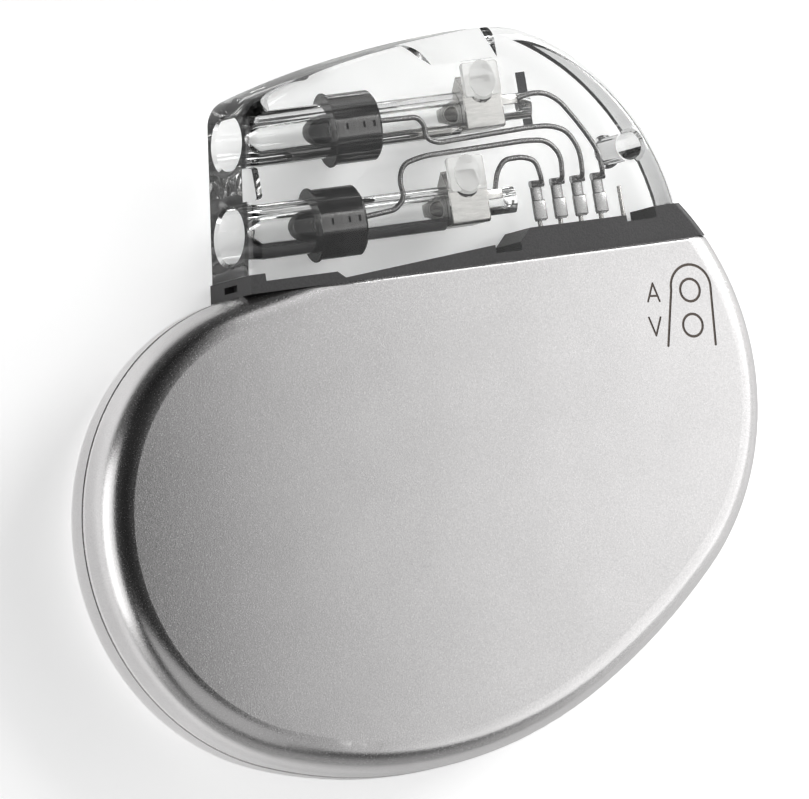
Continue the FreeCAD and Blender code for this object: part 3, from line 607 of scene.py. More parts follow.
# Angles in degrees, the rest in millimetres. A normal is where an arc's or a line's outside faces
LEFT_NORMAL = 171.3
CROWN_NORMAL = 91.0
CROWN_TO_FLANK = 66.0
LEFT_FOOT_X = -11.5
CROWN_TOP = Vector((8.45, 23.2, 0.0))
CROWN_RADIUS = 7.7
HEADER_FLANK_RADIUS = 15.5
TOP_RADIUS = 66.0
CORNER_RADIUS = 1.9
# Heights of the rail's steps above the joint, and where along it they are
BASE_HEIGHTS = {"foot": 1.2, "left": 0.72, "low": 0.28, "wedge": 1.1, "notch": 0.55,
                "block": 1.9, "step": 1.5, "bump": 2.25}
BASE_PLACES = {"foot": 1.25, "left": -5.0, "low": -4.45, "wedge": 6.8, "notch": 8.7,
               "block": 9.55, "block_end": 16.75, "bump": 18.95}
BASE_END_INSET = 0.35
BASE_END_ROUND = 0.5
# The slot in the rail's foot: depth, half its height, half its width
FOOT_SLOT = (0.8, 0.21, 0.8)
WELL_ROOM = 0.4
RESIN_GAP = 0.02
# How far the set screws' axes climb between a port's axis and the front face
SCREW_RISE = 1.95
# Top recess: its left and right ends, where its floor meets the front face, and its end's slant
RECESS = (4.3, 9.2, 20.95)
RECESS_SLANT = 0.9
# Notch in the left edge: lowest and highest point, width and depth
NOTCH = (13.9, 16.0, 0.9, 0.8)
NOTCH_ROUND = 0.3
SUTURE = (17.9, 14.3)
SUTURE_SINK = 0.2
# Where the top's draft begins over the rear face, and where it fades in and out: place, width
DRAFT_START = 2.2
DRAFT_ENDS = ((-12.4, 3.0), (14.0, 9.0))
PORTS = ("upper", "lower")
# A lead port: tip block's length, the pin bore's end from it, how far the bores run into the
# blocks, and the pin bore's room in the resin
TIP_LENGTH = 2.9
PORT_END = 5.4
PORT_OVERLAP = 0.3
PIN_ROOM = 0.15


def header_outline(can):
    """Centres, angles and ends of the header's outline."""
    crown_centre = CROWN_TOP - ray(CROWN_NORMAL, CROWN_RADIUS)
    flank_centre = crown_centre + ray(CROWN_TO_FLANK, CROWN_RADIUS - HEADER_FLANK_RADIUS)
    top_centre = CROWN_TOP - ray(CROWN_NORMAL, TOP_RADIUS)
    left_distance = ray(LEFT_NORMAL).dot(Vector((LEFT_FOOT_X, can.joint_y, 0)))
    pull = left_distance - CORNER_RADIUS - ray(LEFT_NORMAL).dot(top_centre)
    top_left = LEFT_NORMAL - math.degrees(math.acos(pull / (TOP_RADIUS - CORNER_RADIUS)))
    corner_centre = top_centre + ray(top_left, TOP_RADIUS - CORNER_RADIUS)
    corner_end = corner_centre + ray(LEFT_NORMAL, CORNER_RADIUS)
    end_y = can.joint_y + BASE_HEIGHTS["bump"]
    flank_end_normal = math.degrees(math.asin((end_y - flank_centre.y) / HEADER_FLANK_RADIUS))
    return SimpleNamespace(
        crown_centre=crown_centre, flank_centre=flank_centre, top_centre=top_centre,
        top_left=top_left, corner_centre=corner_centre, corner_end=corner_end,
        flank_end_normal=flank_end_normal,
        flank_end=flank_centre + ray(flank_end_normal, HEADER_FLANK_RADIUS))


def left_face_x(shape, y):
    """Where the header's slanted left face is at a height."""
    return shape.corner_end.x + (y - shape.corner_end.y) / math.tan(math.radians(LEFT_NORMAL - 90))


def rail_profile(can, shape, drop=0.0):
    """The rail's outline over the joint. drop lowers its top a little."""
    heights = {key: can.joint_y + h - drop for key, h in BASE_HEIGHTS.items()}
    at = BASE_PLACES
    foot_x = left_face_x(shape, can.joint_y) + at["foot"]
    return [
        (left_face_x(shape, can.joint_y), can.joint_y),
        (left_face_x(shape, heights["foot"]), heights["foot"]),
        (foot_x, heights["foot"]),
        (foot_x, heights["left"]),
        (at["left"], heights["left"]),
        (at["low"], heights["low"]),
        (at["wedge"], heights["wedge"]),
        (at["wedge"], heights["notch"]),
        (at["notch"], heights["notch"]),
        (at["notch"], heights["wedge"]),
        (at["block"], heights["block"]),
        (at["block_end"], heights["block"]),
        (at["block_end"], heights["step"]),
        (at["bump"], heights["step"]),
        (at["bump"], heights["bump"]),
    ]


def rail_mesh(can, header, shape):
    """The rail. Its right end follows the can's own curve."""
    bm = bmesh.new()
    spots = rail_profile(can, shape)
    end_radius = RIGHT_RADIUS - BASE_END_INSET

    def on_end(y):
        """Angle at which the end's arc passes a height."""
        return math.degrees(math.asin((y - RIGHT_CENTRE.y) / end_radius))

    top_turn = on_end(can.joint_y + BASE_HEIGHTS["bump"])
    low_turn = on_end(can.joint_y)
    vert = point(bm, (*spots[0], 0))
    for spot in spots[1:]:
        vert = run_to(bm, vert, (*spot, 0))
    vert = run_to(bm, vert, RIGHT_CENTRE + ray(top_turn, end_radius))
    vert = arc_about(bm, vert, RIGHT_CENTRE, low_turn - top_turn)
    run_to(bm, vert, (*spots[0], 0))
    low = (can.thickness - header.thickness) / 2
    high = low + header.thickness
    raised(bm, low, high)

    def at_end(spot):
        off_arc = abs((spot.xy - RIGHT_CENTRE.xy).length - end_radius)
        return off_arc < 0.02 and spot.y > can.joint_y + 0.01

    rounded(bm, rim_edges(bm, low, high, at_end), BASE_END_ROUND, 6)
    return bm


def header_block(can, header, shape):
    """The resin before anything is cut from it, with its leaning top and rounded edges."""
    bm = bmesh.new()
    foot = Vector((LEFT_FOOT_X, can.joint_y, 0))
    vert = run_to(bm, point(bm, foot), shape.corner_end)
    vert = arc_about(bm, vert, shape.corner_centre, shape.top_left - LEFT_NORMAL)
    vert = arc_about(bm, vert, shape.top_centre, CROWN_NORMAL - shape.top_left)
    vert = arc_about(bm, vert, shape.crown_centre, CROWN_TO_FLANK - CROWN_NORMAL)
    vert = arc_about(bm, vert, shape.flank_centre, shape.flank_end_normal - CROWN_TO_FLANK)
    vert = run_to(bm, vert, (shape.flank_end.x, can.joint_y, 0))
    run_to(bm, vert, foot)
    low = (can.thickness - header.thickness) / 2
    high = low + header.thickness
    parting = low + DRAFT_START
    raised(bm, low, parting)
    front = [f for f in bm.faces if f.calc_center_median().z > parting - 1e-3]
    made = bmesh.ops.extrude_face_region(bm, geom=front)["geom"]
    bmesh.ops.delete(bm, geom=front, context="FACES")
    upper = only(made, bmesh.types.BMVert)
    bmesh.ops.translate(bm, vec=(0, 0, high - parting), verts=upper)
    left, right = DRAFT_ENDS
    for vert in upper:
        share = min(1.0, max(0.0, (vert.co.x - left[0]) / left[1]),
                    max(0.0, (right[0] - vert.co.x) / right[1]))
        if vert.co.y > can.joint_y + 5:
            vert.co.y -= header.draft * share * share * (3 - 2 * share)
    bmesh.ops.recalc_face_normals(bm, faces=bm.faces)

    def above_joint(spot):
        return spot.y > can.joint_y + 1e-3

    rounded(bm, rim_edges(bm, high, high, above_joint), header.edge_radius, 10)
    rounded(bm, rim_edges(bm, low, low, above_joint), header.rear_radius, 6)
    return bm


def port(can, name):
    """Places of one lead port, read from its CAD nodes."""
    ring = reach("ring_block_" + name, 0)
    tip = reach("tip_block_" + name, 0)
    return SimpleNamespace(y=middle("ring_block_" + name, 1), z=can.thickness / 2,
                           ring0=ring[0], ring1=ring[1], tip0=tip[0], tip1=tip[0] + TIP_LENGTH,
                           end=tip[0] + PORT_END)


def screw_tilt(header):
    """Angle between a set screw's axis and the front face's normal."""
    return math.atan2(SCREW_RISE, header.thickness / 2)


def screw_frame(header, lane):
    """Turns and moves something drawn on the Z axis onto the set screw's axis."""
    spot = Vector(((lane.tip0 + lane.tip1) / 2, lane.y, lane.z))
    return Matrix.Translation(spot) @ Matrix.Rotation(-screw_tilt(header), 4, "X")


def rod(radius, z0, z1, matrix=None, segments=48, radius2=None):
    """A cylinder or cone between two heights, moved by a matrix."""
    bm = bmesh.new()
    bmesh.ops.create_cone(bm, cap_ends=True, segments=segments, radius1=radius,
                          radius2=radius if radius2 is None else radius2, depth=z1 - z0)
    bmesh.ops.translate(bm, vec=(0, 0, (z0 + z1) / 2), verts=bm.verts)
    if matrix is not None:
        bmesh.ops.transform(bm, matrix=matrix, verts=bm.verts)
    return bm


def port_tool(header, lane):
    """Everything in one lead port that holds air."""
    bm = bmesh.new()
    wide, narrow = header.pin_radius + PIN_ROOM, header.pin_radius
    turned(bm, [
        (-ROOM, 0.0),
        (-ROOM, header.mouth_radius),
        (lane.ring1 - PORT_OVERLAP, header.mouth_radius),
        (lane.ring1 - PORT_OVERLAP, header.seal_radius),
        (lane.tip0 - RESIN_GAP, header.seal_radius),
        (lane.tip0 - RESIN_GAP, wide),
        (lane.tip1 - PORT_OVERLAP, wide),
        (lane.tip1 - PORT_OVERLAP, narrow),
        (lane.end, narrow),
        (lane.end, 0.0),
    ], 72, (0, lane.y, lane.z))
    return loose(bm, "port")


def flare_tool(header, shape, lane):
    """The chamfer round a lead port's mouth, square to the slanted left face."""
    mouth = Vector((left_face_x(shape, lane.y), lane.y, lane.z))
    turn = Vector((0, 0, 1)).rotation_difference(ray(LEFT_NORMAL)).to_matrix().to_4x4()
    c = header.mouth_chamfer
    return loose(rod(header.mouth_radius - c, -2 * c, c, Matrix.Translation(mouth) @ turn, 72,
                     header.mouth_radius + 2 * c), "flare")


def under_tool(can, shape):
    """All that lies under the resin: the rail with a little room over it, and the can."""
    bm = bmesh.new()
    spots = rail_profile(can, shape, drop=RESIN_GAP)
    spots[0] = (spots[0][0] - 5, can.joint_y - 5)
    spots[1] = (spots[1][0] - 5, spots[1][1])
    spots += [(ROOM, spots[-1][1]), (ROOM, can.joint_y - 5)]
    polygon(bm, spots, -5, 12)
    return loose(bm, "under")


def recess_tool(header, high):
    """The recess in the top, with a slanted left end and a floor that leans as the screws do."""
    bm = bmesh.new()
    box(bm, RECESS[0], RECESS[1], 0, ROOM, 0, ROOM)
    far_left = [v for v in bm.verts if v.co.x < RECESS[0] + 0.1 and v.co.y > 1]
    bmesh.ops.translate(bm, vec=(-RECESS_SLANT * ROOM, 0, 0), verts=far_left)
    bmesh.ops.rotate(bm, cent=(RECESS[0], 0, 0), verts=bm.verts,
                     matrix=Matrix.Rotation(-screw_tilt(header), 3, "X"))
    bmesh.ops.translate(bm, vec=(0, RECESS[2], high), verts=bm.verts)
    return loose(bm, "recess")


def notch_tool(shape, high):
    """The notch in the left edge, with rounded inner edges."""
    bm = bmesh.new()
    y0, y1, along, deep = NOTCH
    box(bm, -ROOM, left_face_x(shape, (y0 + y1) / 2) + along, y0, y1, high - deep, high + 5)
    inner = [e for e in bm.edges if all(v.co.x > -ROOM + 1 for v in e.verts)
             and min(v.co.z for v in e.verts) < high]
    rounded(bm, inner, NOTCH_ROUND, 6)
    return loose(bm, "notch")


def suture_tools(header, low, high):
    """The suture hole and its two countersinks."""
    radius = header.suture_radius
    tools = [loose(rod(radius, -1, 8, Matrix.Translation((*SUTURE, 0))), "suture")]
    for z, way in ((low, -1), (high, 1)):
        onto = Matrix.Translation((*SUTURE, z)) @ Matrix.Scale(way, 4, (0, 0, 1))
        sink = rod(radius - 0.1, -0.3, 0.1, onto, 48, radius + SUTURE_SINK + 0.1)
        bmesh.ops.recalc_face_normals(sink, faces=sink.faces)
        tools.append(loose(sink, "sink"))
    return tools


class PacemakerHeader(bpy.types.Operator):
    """Clear cast header with its two lead ports, and the dark rail under it"""

    bl_idname = "pacemaker.header"
    bl_label = "Header and base rail"

    def execute(self, context):
        can = measures(context.scene.pacemaker_can)
        header = measures(context.scene.pacemaker_header)
        contact = measures(context.scene.pacemaker_contacts)
        shape = header_outline(can)
        low = (can.thickness - header.thickness) / 2
        high = low + header.thickness

        rail = loose(rail_mesh(can, header, shape), "rail")
        x0, x1 = reach("feedthrough_insulator", 0)
        z0, z1 = reach("feedthrough_insulator", 2)
        well = bmesh.new()
        box(well, x0 - WELL_ROOM, x1 + WELL_ROOM, can.joint_y - 1, can.joint_y + 3,
            z0 - WELL_ROOM, z1 + WELL_ROOM)
        foot = bmesh.new()
        slot_y = can.joint_y + BASE_HEIGHTS["foot"] / 2
        deep, half_y, half_z = FOOT_SLOT
        box(foot, -ROOM, LEFT_FOOT_X + deep, slot_y - half_y, slot_y + half_y,
            can.thickness / 2 - half_z, can.thickness / 2 + half_z)
        combine(rail, [loose(well, "well"), loose(foot, "slot")], "DIFFERENCE")
        place(rail, "base_rail", "base_metal", "header_base")

        resin = loose(header_block(can, header, shape), "resin")
        tools = [under_tool(can, shape)]
        for name in PORTS:
            lane = port(can, name)
            neck = rod(contact.neck_radius - RESIN_GAP, 2.0, 6.0, screw_frame(header, lane))
            tools += [port_tool(header, lane), flare_tool(header, shape, lane),
                      loose(neck, "neck")]
        tools += [recess_tool(header, high), notch_tool(shape, high)]
        tools += suture_tools(header, low, high)
        combine(resin, tools, "DIFFERENCE")
        place(resin, "header_resin", "header_resin", "header_body")
        return {"FINISHED"}


# Contacts


# Ring contact: its windows' widths, the gap between them, its chamfer, soft edges and groove
WINDOWS = (0.45, 0.95, 0.45)
WINDOW_GAP = 0.3
RING_CHAMFER = 0.18
RING_SOFT = 0.04
GROOVE_DEPTH = 0.44
GROOVE_HALF = 0.35
# Coil spring: radius of a turn, of the ring that they make, their lean in degrees and number
TURN_RADIUS = 0.26
SPRING_RADIUS = 1.56
TURN_LEAN = 24
TURNS = 44
# Tip contact: large and small chamfer, boss rounding, and its tail's reach and edges across
TIP_CHAMFER, TIP_SOFT, BOSS_SOFT = 0.34, 0.1, 0.08
TAIL_REACH, TAIL_Y, TAIL_DEPTH = 1.1, (0.1, 0.75), 0.5
# Set screw: pitch and depth of its thread, its point's radius and length, its socket's width
PITCH, THREAD_DEPTH = 0.22, 0.09
POINT_RADIUS, POINT_LENGTH = 0.45, 0.25
SOCKET_WIDTH, SOCKET_DEPTH = 0.9, 0.6
# Septum: half its length and height, and where its cushion lies under the front face
PLUG_HALF = (1.35, 1.1)
PLUG_DEPTHS = (0.64, 0.12)
PLUG_CORNER, PLUG_EDGE = 0.25, 0.08
# Weld tab: thickness of its ribbon and pad, its pad's height and the height of its roll
TAB_RIBBON, TAB_PAD, TAB_PAD_HEIGHT, TAB_ROLL = 0.14, 0.36, 1.35, 0.46


def ring_mesh(header, contact, lane):
    """Ring contact: a sleeve with a collar at its mouth side and a groove for its spring."""
    inner = header.seal_radius
    groove = inner + GROOVE_DEPTH
    centre = (lane.ring0 + lane.ring1) / 2
    outer, collar, soft = contact.ring_radius, contact.collar_radius, RING_SOFT
    profile = [
        (lane.ring0, inner + soft),
        (lane.ring0, collar - soft),
        (lane.ring0 + soft, collar),
        (lane.ring0 + contact.collar_length - soft, collar),
        (lane.ring0 + contact.collar_length, collar - soft),
        (lane.ring0 + contact.collar_length, outer),
        (lane.ring1 - RING_CHAMFER, outer),
        (lane.ring1, outer - RING_CHAMFER),
        (lane.ring1, inner + soft),
        (lane.ring1 - soft, inner),
        (centre + GROOVE_HALF, inner),
        (centre + GROOVE_HALF, groove),
        (centre - GROOVE_HALF, groove),
        (centre - GROOVE_HALF, inner),
        (lane.ring0 + soft, inner),
    ]
    bm = bmesh.new()
    turned(bm, profile + profile[:1], 96, (0, lane.y, lane.z))
    return bm


def window_tools(contact, lane):
    """The ring contact's three windows, side by side on its front."""
    x = (lane.ring0 + lane.ring1 - sum(WINDOWS) - WINDOW_GAP * (len(WINDOWS) - 1)) / 2
    half, front = contact.window_height / 2, lane.z + contact.ring_radius
    tools = []
    for wide in WINDOWS:
        bm = bmesh.new()
        box(bm, x, x + wide, lane.y - half, lane.y + half, front - contact.window_depth,
            lane.z + 5)
        tools.append(loose(bm, "window"))
        x += wide + WINDOW_GAP
    return tools


def spring_mesh(contact, lane):
    """A coil spring bent into a ring: many leaning turns round the bore."""
    bm = bmesh.new()
    made = bmesh.ops.create_circle(bm, segments=8, radius=contact.spring_wire)["verts"]
    bmesh.ops.translate(bm, vec=(TURN_RADIUS - contact.spring_wire, 0, 0), verts=made)
    bmesh.ops.spin(bm, geom=bm.verts[:] + bm.edges[:], cent=(0, 0, 0), axis=(0, 1, 0),
                   dvec=(0, 0, 0), angle=math.tau, steps=16, use_merge=True)
    bmesh.ops.recalc_face_normals(bm, faces=bm.faces)
    bmesh.ops.rotate(bm, cent=(0, 0, 0), verts=bm.verts,
                     matrix=Matrix.Rotation(math.radians(TURN_LEAN), 3, "Z"))
    bmesh.ops.translate(bm, vec=(0, 0, SPRING_RADIUS), verts=bm.verts)
    bmesh.ops.spin(bm, geom=bm.verts[:] + bm.edges[:] + bm.faces[:], cent=(0, 0, 0),
                   axis=(1, 0, 0), dvec=(0, 0, 0), angle=math.tau, steps=TURNS,
                   use_duplicate=True, use_merge=False)
    bmesh.ops.remove_doubles(bm, verts=bm.verts, dist=1e-5)
    centre = ((lane.ring0 + lane.ring1) / 2, lane.y, lane.z)
    bmesh.ops.translate(bm, vec=centre, verts=bm.verts)
    return bm


def sharp_edges(bm):
    """Edges that still meet at close to a right angle."""
    return [e for e in bm.edges if e.calc_face_angle(0.0) > 1.2]


def tip_object(header, contact, lane):
    """Tip contact: a block on the bore, a boss round the screw and a tail for its conductor."""
    half_y, half_z = contact.tip_height / 2, contact.tip_depth / 2
    below, front = lane.y - half_y, lane.z + half_z
    onto = screw_frame(header, lane)
    bm = bmesh.new()
    box(bm, lane.tip0, lane.tip1, below, lane.y + half_y, lane.z - half_z, front)
    rounded(bm, [e for e in bm.edges if all(v.co.z > front - 0.01 and v.co.y < below + 0.01
                                            for v in e.verts)], TIP_CHAMFER, 2)
    rounded(bm, sharp_edges(bm), TIP_SOFT, 3)
    block = loose(bm, "tip")
    bm = bmesh.new()
    half = (lane.tip1 - lane.tip0) / 2
    box(bm, -half, half, -contact.boss_width / 2, contact.boss_width / 2, 0, contact.boss_reach)
    rounded(bm, [e for e in bm.edges if max(v.co.z for v in e.verts) > 0.1], BOSS_SOFT, 2)
    bmesh.ops.transform(bm, matrix=onto, verts=bm.verts)
    cut_above(bm, front - 0.001)
    boss = loose(bm, "boss")
    bm = bmesh.new()
    box(bm, lane.tip1 - 0.3, lane.tip1 + TAIL_REACH, lane.y + TAIL_Y[0], lane.y + TAIL_Y[1],
        front - TAIL_DEPTH, front - 0.002)
    rounded(bm, bm.edges[:], 0.05, 2)
    combine(block, [boss, loose(bm, "tail")], "UNION")
    bm = bmesh.new()
    turned(bm, [(lane.tip0 - 1, 0), (lane.tip0 - 1, header.pin_radius),
                (lane.tip1 + 1, header.pin_radius), (lane.tip1 + 1, 0)], 64, (0, lane.y, lane.z))
    hole = loose(rod(contact.screw_radius + 0.03, 0, 6, onto), "hole")
    return combine(block, [loose(bm, "bore"), hole], "DIFFERENCE")


def screw_object(header, contact, lane):
    """Set screw with its thread's crests, a cone point and a hexagon socket."""
    start, end = contact.screw_start, contact.screw_start + contact.screw_length
    radius = contact.screw_radius
    along = start + POINT_LENGTH
    profile = [(start, 0.0), (start, POINT_RADIUS), (along, radius - THREAD_DEPTH)]
    while along + PITCH < end - 0.05:
        profile += [(along + PITCH * 0.4, radius), (along + PITCH * 0.55, radius),
                    (along + PITCH, radius - THREAD_DEPTH)]
        along += PITCH
    profile += [(end - 0.06, radius - 0.02), (end, radius - 0.1), (end, 0.0)]
    onto = screw_frame(header, lane)
    bm = bmesh.new()
    turned(bm, profile, 48)
    bmesh.ops.rotate(bm, cent=(0, 0, 0), matrix=Matrix.Rotation(math.radians(-90), 3, "Y"),
                     verts=bm.verts)
    bmesh.ops.transform(bm, matrix=onto, verts=bm.verts)
    socket = rod(SOCKET_WIDTH / math.sqrt(3), end - SOCKET_DEPTH, end + 1, onto, 6)
    return combine(loose(bm, "screw"), [loose(socket, "socket")], "DIFFERENCE")


def septum_object(can, header, contact, lane):
    """Silicone plug: a cushion under the front face with a neck out through it."""
    high = (can.thickness + header.thickness) / 2
    x, y = (lane.tip0 + lane.tip1) / 2, lane.y + SCREW_RISE
    z0, z1 = (high - depth for depth in PLUG_DEPTHS)
    onto = screw_frame(header, lane)
    bm = bmesh.new()
    box(bm, x - PLUG_HALF[0], x + PLUG_HALF[0], y - PLUG_HALF[1], y + PLUG_HALF[1], z0, z1)
    upright = [e for e in bm.edges if abs(e.verts[0].co.z - e.verts[1].co.z) > 0.1]
    rounded(bm, upright, PLUG_CORNER, 5)
    rounded(bm, rim_edges(bm, z0, z1), PLUG_EDGE, 3)
    plug = loose(bm, "plug")
    bm = rod(contact.neck_radius, contact.boss_reach, 6.0, onto)
    cut_above(bm, high)
    combine(plug, [loose(bm, "neck")], "UNION")
    under = rod(contact.neck_radius - 0.005, 0.0, contact.boss_reach, onto)
    half_x = (lane.tip1 - lane.tip0) / 2 + 0.01
    half_y = contact.boss_width / 2 + 0.01
    boss = bmesh.new()
    box(boss, -half_x, half_x, -half_y, half_y, -0.5, contact.boss_reach)
    bmesh.ops.transform(boss, matrix=onto, verts=boss.verts)
    return combine(plug, [loose(under, "under"), loose(boss, "boss")], "DIFFERENCE")


class PacemakerContacts(bpy.types.Operator):
    """Ring and tip contacts of both lead ports, with springs, set screws and septa"""

    bl_idname = "pacemaker.contacts"
    bl_label = "Contacts"

    def execute(self, context):
        can = measures(context.scene.pacemaker_can)
        header = measures(context.scene.pacemaker_header)
        contact = measures(context.scene.pacemaker_contacts)
        for name in PORTS:
            lane = port(can, name)
            ring = loose(ring_mesh(header, contact, lane), "ring")
            combine(ring, window_tools(contact, lane), "DIFFERENCE")
            place(ring, "ring_contact_" + name, "contact_metal", "ring_block_" + name)
            place(loose(spring_mesh(contact, lane), "spring"), "coil_spring_" + name,
                  "contact_metal", "ring_spring_" + name, look="conductor_metal")
            place(tip_object(header, contact, lane), "tip_contact_" + name,
                  "contact_metal", "tip_block_" + name, look="screw_metal")
            place(screw_object(header, contact, lane), "screw_" + name,
                  "screw_metal", "set_screw_" + name, body=name + "_screw")
            place(septum_object(can, header, contact, lane), "silicone_plug_" + name,
                  "silicone", "septum_" + name)
        return {"FINISHED"}


def tab_object(node):
    """Weld tab: a thin ribbon, a thicker pad on the pin, and a top rolled over the conductor."""
    x0, x1 = reach(node, 0)
    y0, y1 = reach(node, 1)
    z0, z1 = reach(node, 2)
    bm = bmesh.new()
    box(bm, x0 + 0.06, x1 - 0.06, y0, y1 - 0.1, z0, z0 + TAB_RIBBON)
    rounded(bm, bm.edges[:], 0.03, 2)
    ribbon = loose(bm, "ribbon")
    bm = bmesh.new()
    box(bm, x0, x1, y0 + 0.06, y0 + TAB_PAD_HEIGHT, z0 + 0.02, z0 + TAB_PAD)
    rounded(bm, bm.edges[:], 0.09, 4)
    pad = loose(bm, "pad")
    bm = bmesh.new()
    box(bm, x0, x1, y1 - TAB_ROLL, y1, z0 + 0.01, z1)
    rounded(bm, [e for e in bm.edges if abs(e.verts[0].co.x - e.verts[1].co.x) > 0.1], 0.2, 6)
    rounded(bm, sharp_edges(bm), 0.04, 2)
    return combine(ribbon, [pad, loose(bm, "roll")], "UNION")


class PacemakerWiring(bpy.types.Operator):
    """Feedthrough, weld tabs, conductors and the marker plate"""

    bl_idname = "pacemaker.wiring"
    bl_label = "Feedthrough and wiring"

    def execute(self, context):
        for i in "1234":
            dress("conductor_metal", "conductor_" + i)
            dress("pin_metal", "feedthrough_pin_" + i)
            place(tab_object("weld_tab_" + i), "folded_tab_" + i, "tab_metal", "weld_tab_" + i)
        dress("pin_metal", "ground_pin")
        dress("ferrule_titanium", "feedthrough_ferrule")
        dress("insulator_ceramic", "feedthrough_insulator", "filter_capacitor")
        dress("marker_metal", "radiopaque_marker")
        return {"FINISHED"}


INSIDE = {
    "liner_film": ("front_liner", "rear_liner"),
    "battery_metal": ("battery_case", "battery_lid"),
    "cathode_powder": ("battery_cathode",),
    "lithium": ("battery_anode",),
    "seal_glass": ("battery_glass_seal",),
    "pin_metal": ("battery_terminal",),
    "ribbon_nickel": ("battery_ribbon_plus", "battery_ribbon_minus"),
    "carrier_plastic": ("electronics_carrier",),
    "board_laminate": ("circuit_board",),
    "chip_black": ("processor_chip", "pacing_chip", "memory_chip"),
    "chip_ceramic": ("accelerometer", "magnet_sensor"),
    "crystal_can": ("crystal",),
    "coil_copper": ("telemetry_coil",),
    "ferrite": ("telemetry_core",),
    "getter_pellet": ("getter",),
}
CAPACITOR_TAN = (0.46, 0.33, 0.20)


class PacemakerInside(bpy.types.Operator):
    """Finishes of the battery and the electronics inside the sealed can"""

    bl_idname = "pacemaker.inside"
    bl_label = "Battery and electronics"

    def execute(self, context):
        for slot, nodes in INSIDE.items():
            dress(slot, *nodes)
        for size in ("output", "small"):
            made = finish("tan ceramic " + size, CAPACITOR_TAN, 0.0, 0.4, grain=0.06,
                          spread=0.1, relief=0.15)
            cover(size + "_capacitors", made.material)
        return {"FINISHED"}


# Stage

# The key light is a row of strips that brighten evenly from left to right, then one wide panel
KEY_START, KEY_END, KEY_FAR = 21.0, 69.0, 210.0
KEY_STRIP_COUNT = 8
KEY_DIM, KEY_BRIGHT = 0.42, 1.3
KEY_HEIGHT = 78.0
KEY_Y, KEY_WIDTH = 8.0, 190.0
# The other lamps: place, aim, width and height in millimetres, and brightness
LAMPS = {
    "front fill": ((-25, -78, KEY_HEIGHT), (-25, -78, 0), (86, 90), 0.5),
    "left card": ((-250, 35, 96), (0, 20, 0), (300, 190), 1.08),
    "side light": ((440, 260, 230), (0, 0, 0), (300, 260), 8.0),
}
# The floor's own glow for the camera and for metal: its brightness by distance from a spot in
# millimetres, where a ramp's 1 is so many metres away. The resin shows an even glow
FLOOR_GLOW = ((0.1, grey(0.47)), (0.6, grey(0.9)))
FLOOR_GLOW_SPOT, FLOOR_GLOW_REACH = (0, 0, 0), 0.5
METAL_GLOW = ((0.28, grey(0.5)), (0.5, grey(0.0)))
METAL_GLOW_SPOT, METAL_GLOW_REACH = (-45, -8, 0), 0.1
RESIN_GLOW = 0.34
# The studio's brightness by height, and how it falls off towards the two sides along Y
SKY = ((0.0, grey(1.0)), (0.3, grey(0.9)), (0.55, grey(0.06)), (1.0, grey(0.01)))
SKY_SIDES = ((0.12, grey(0.4)), (0.3, grey(1.0)), (0.7, grey(1.0)), (0.87, grey(0.08)))
# The camera: lens in millimetres, place in metres and turns in degrees
CAMERA_LENS = 1263.93
CAMERA_SPOT = (-0.9217, -0.093069, 1.543311)
CAMERA_TURNS = (8.47993, -29.95158, -10.84045)


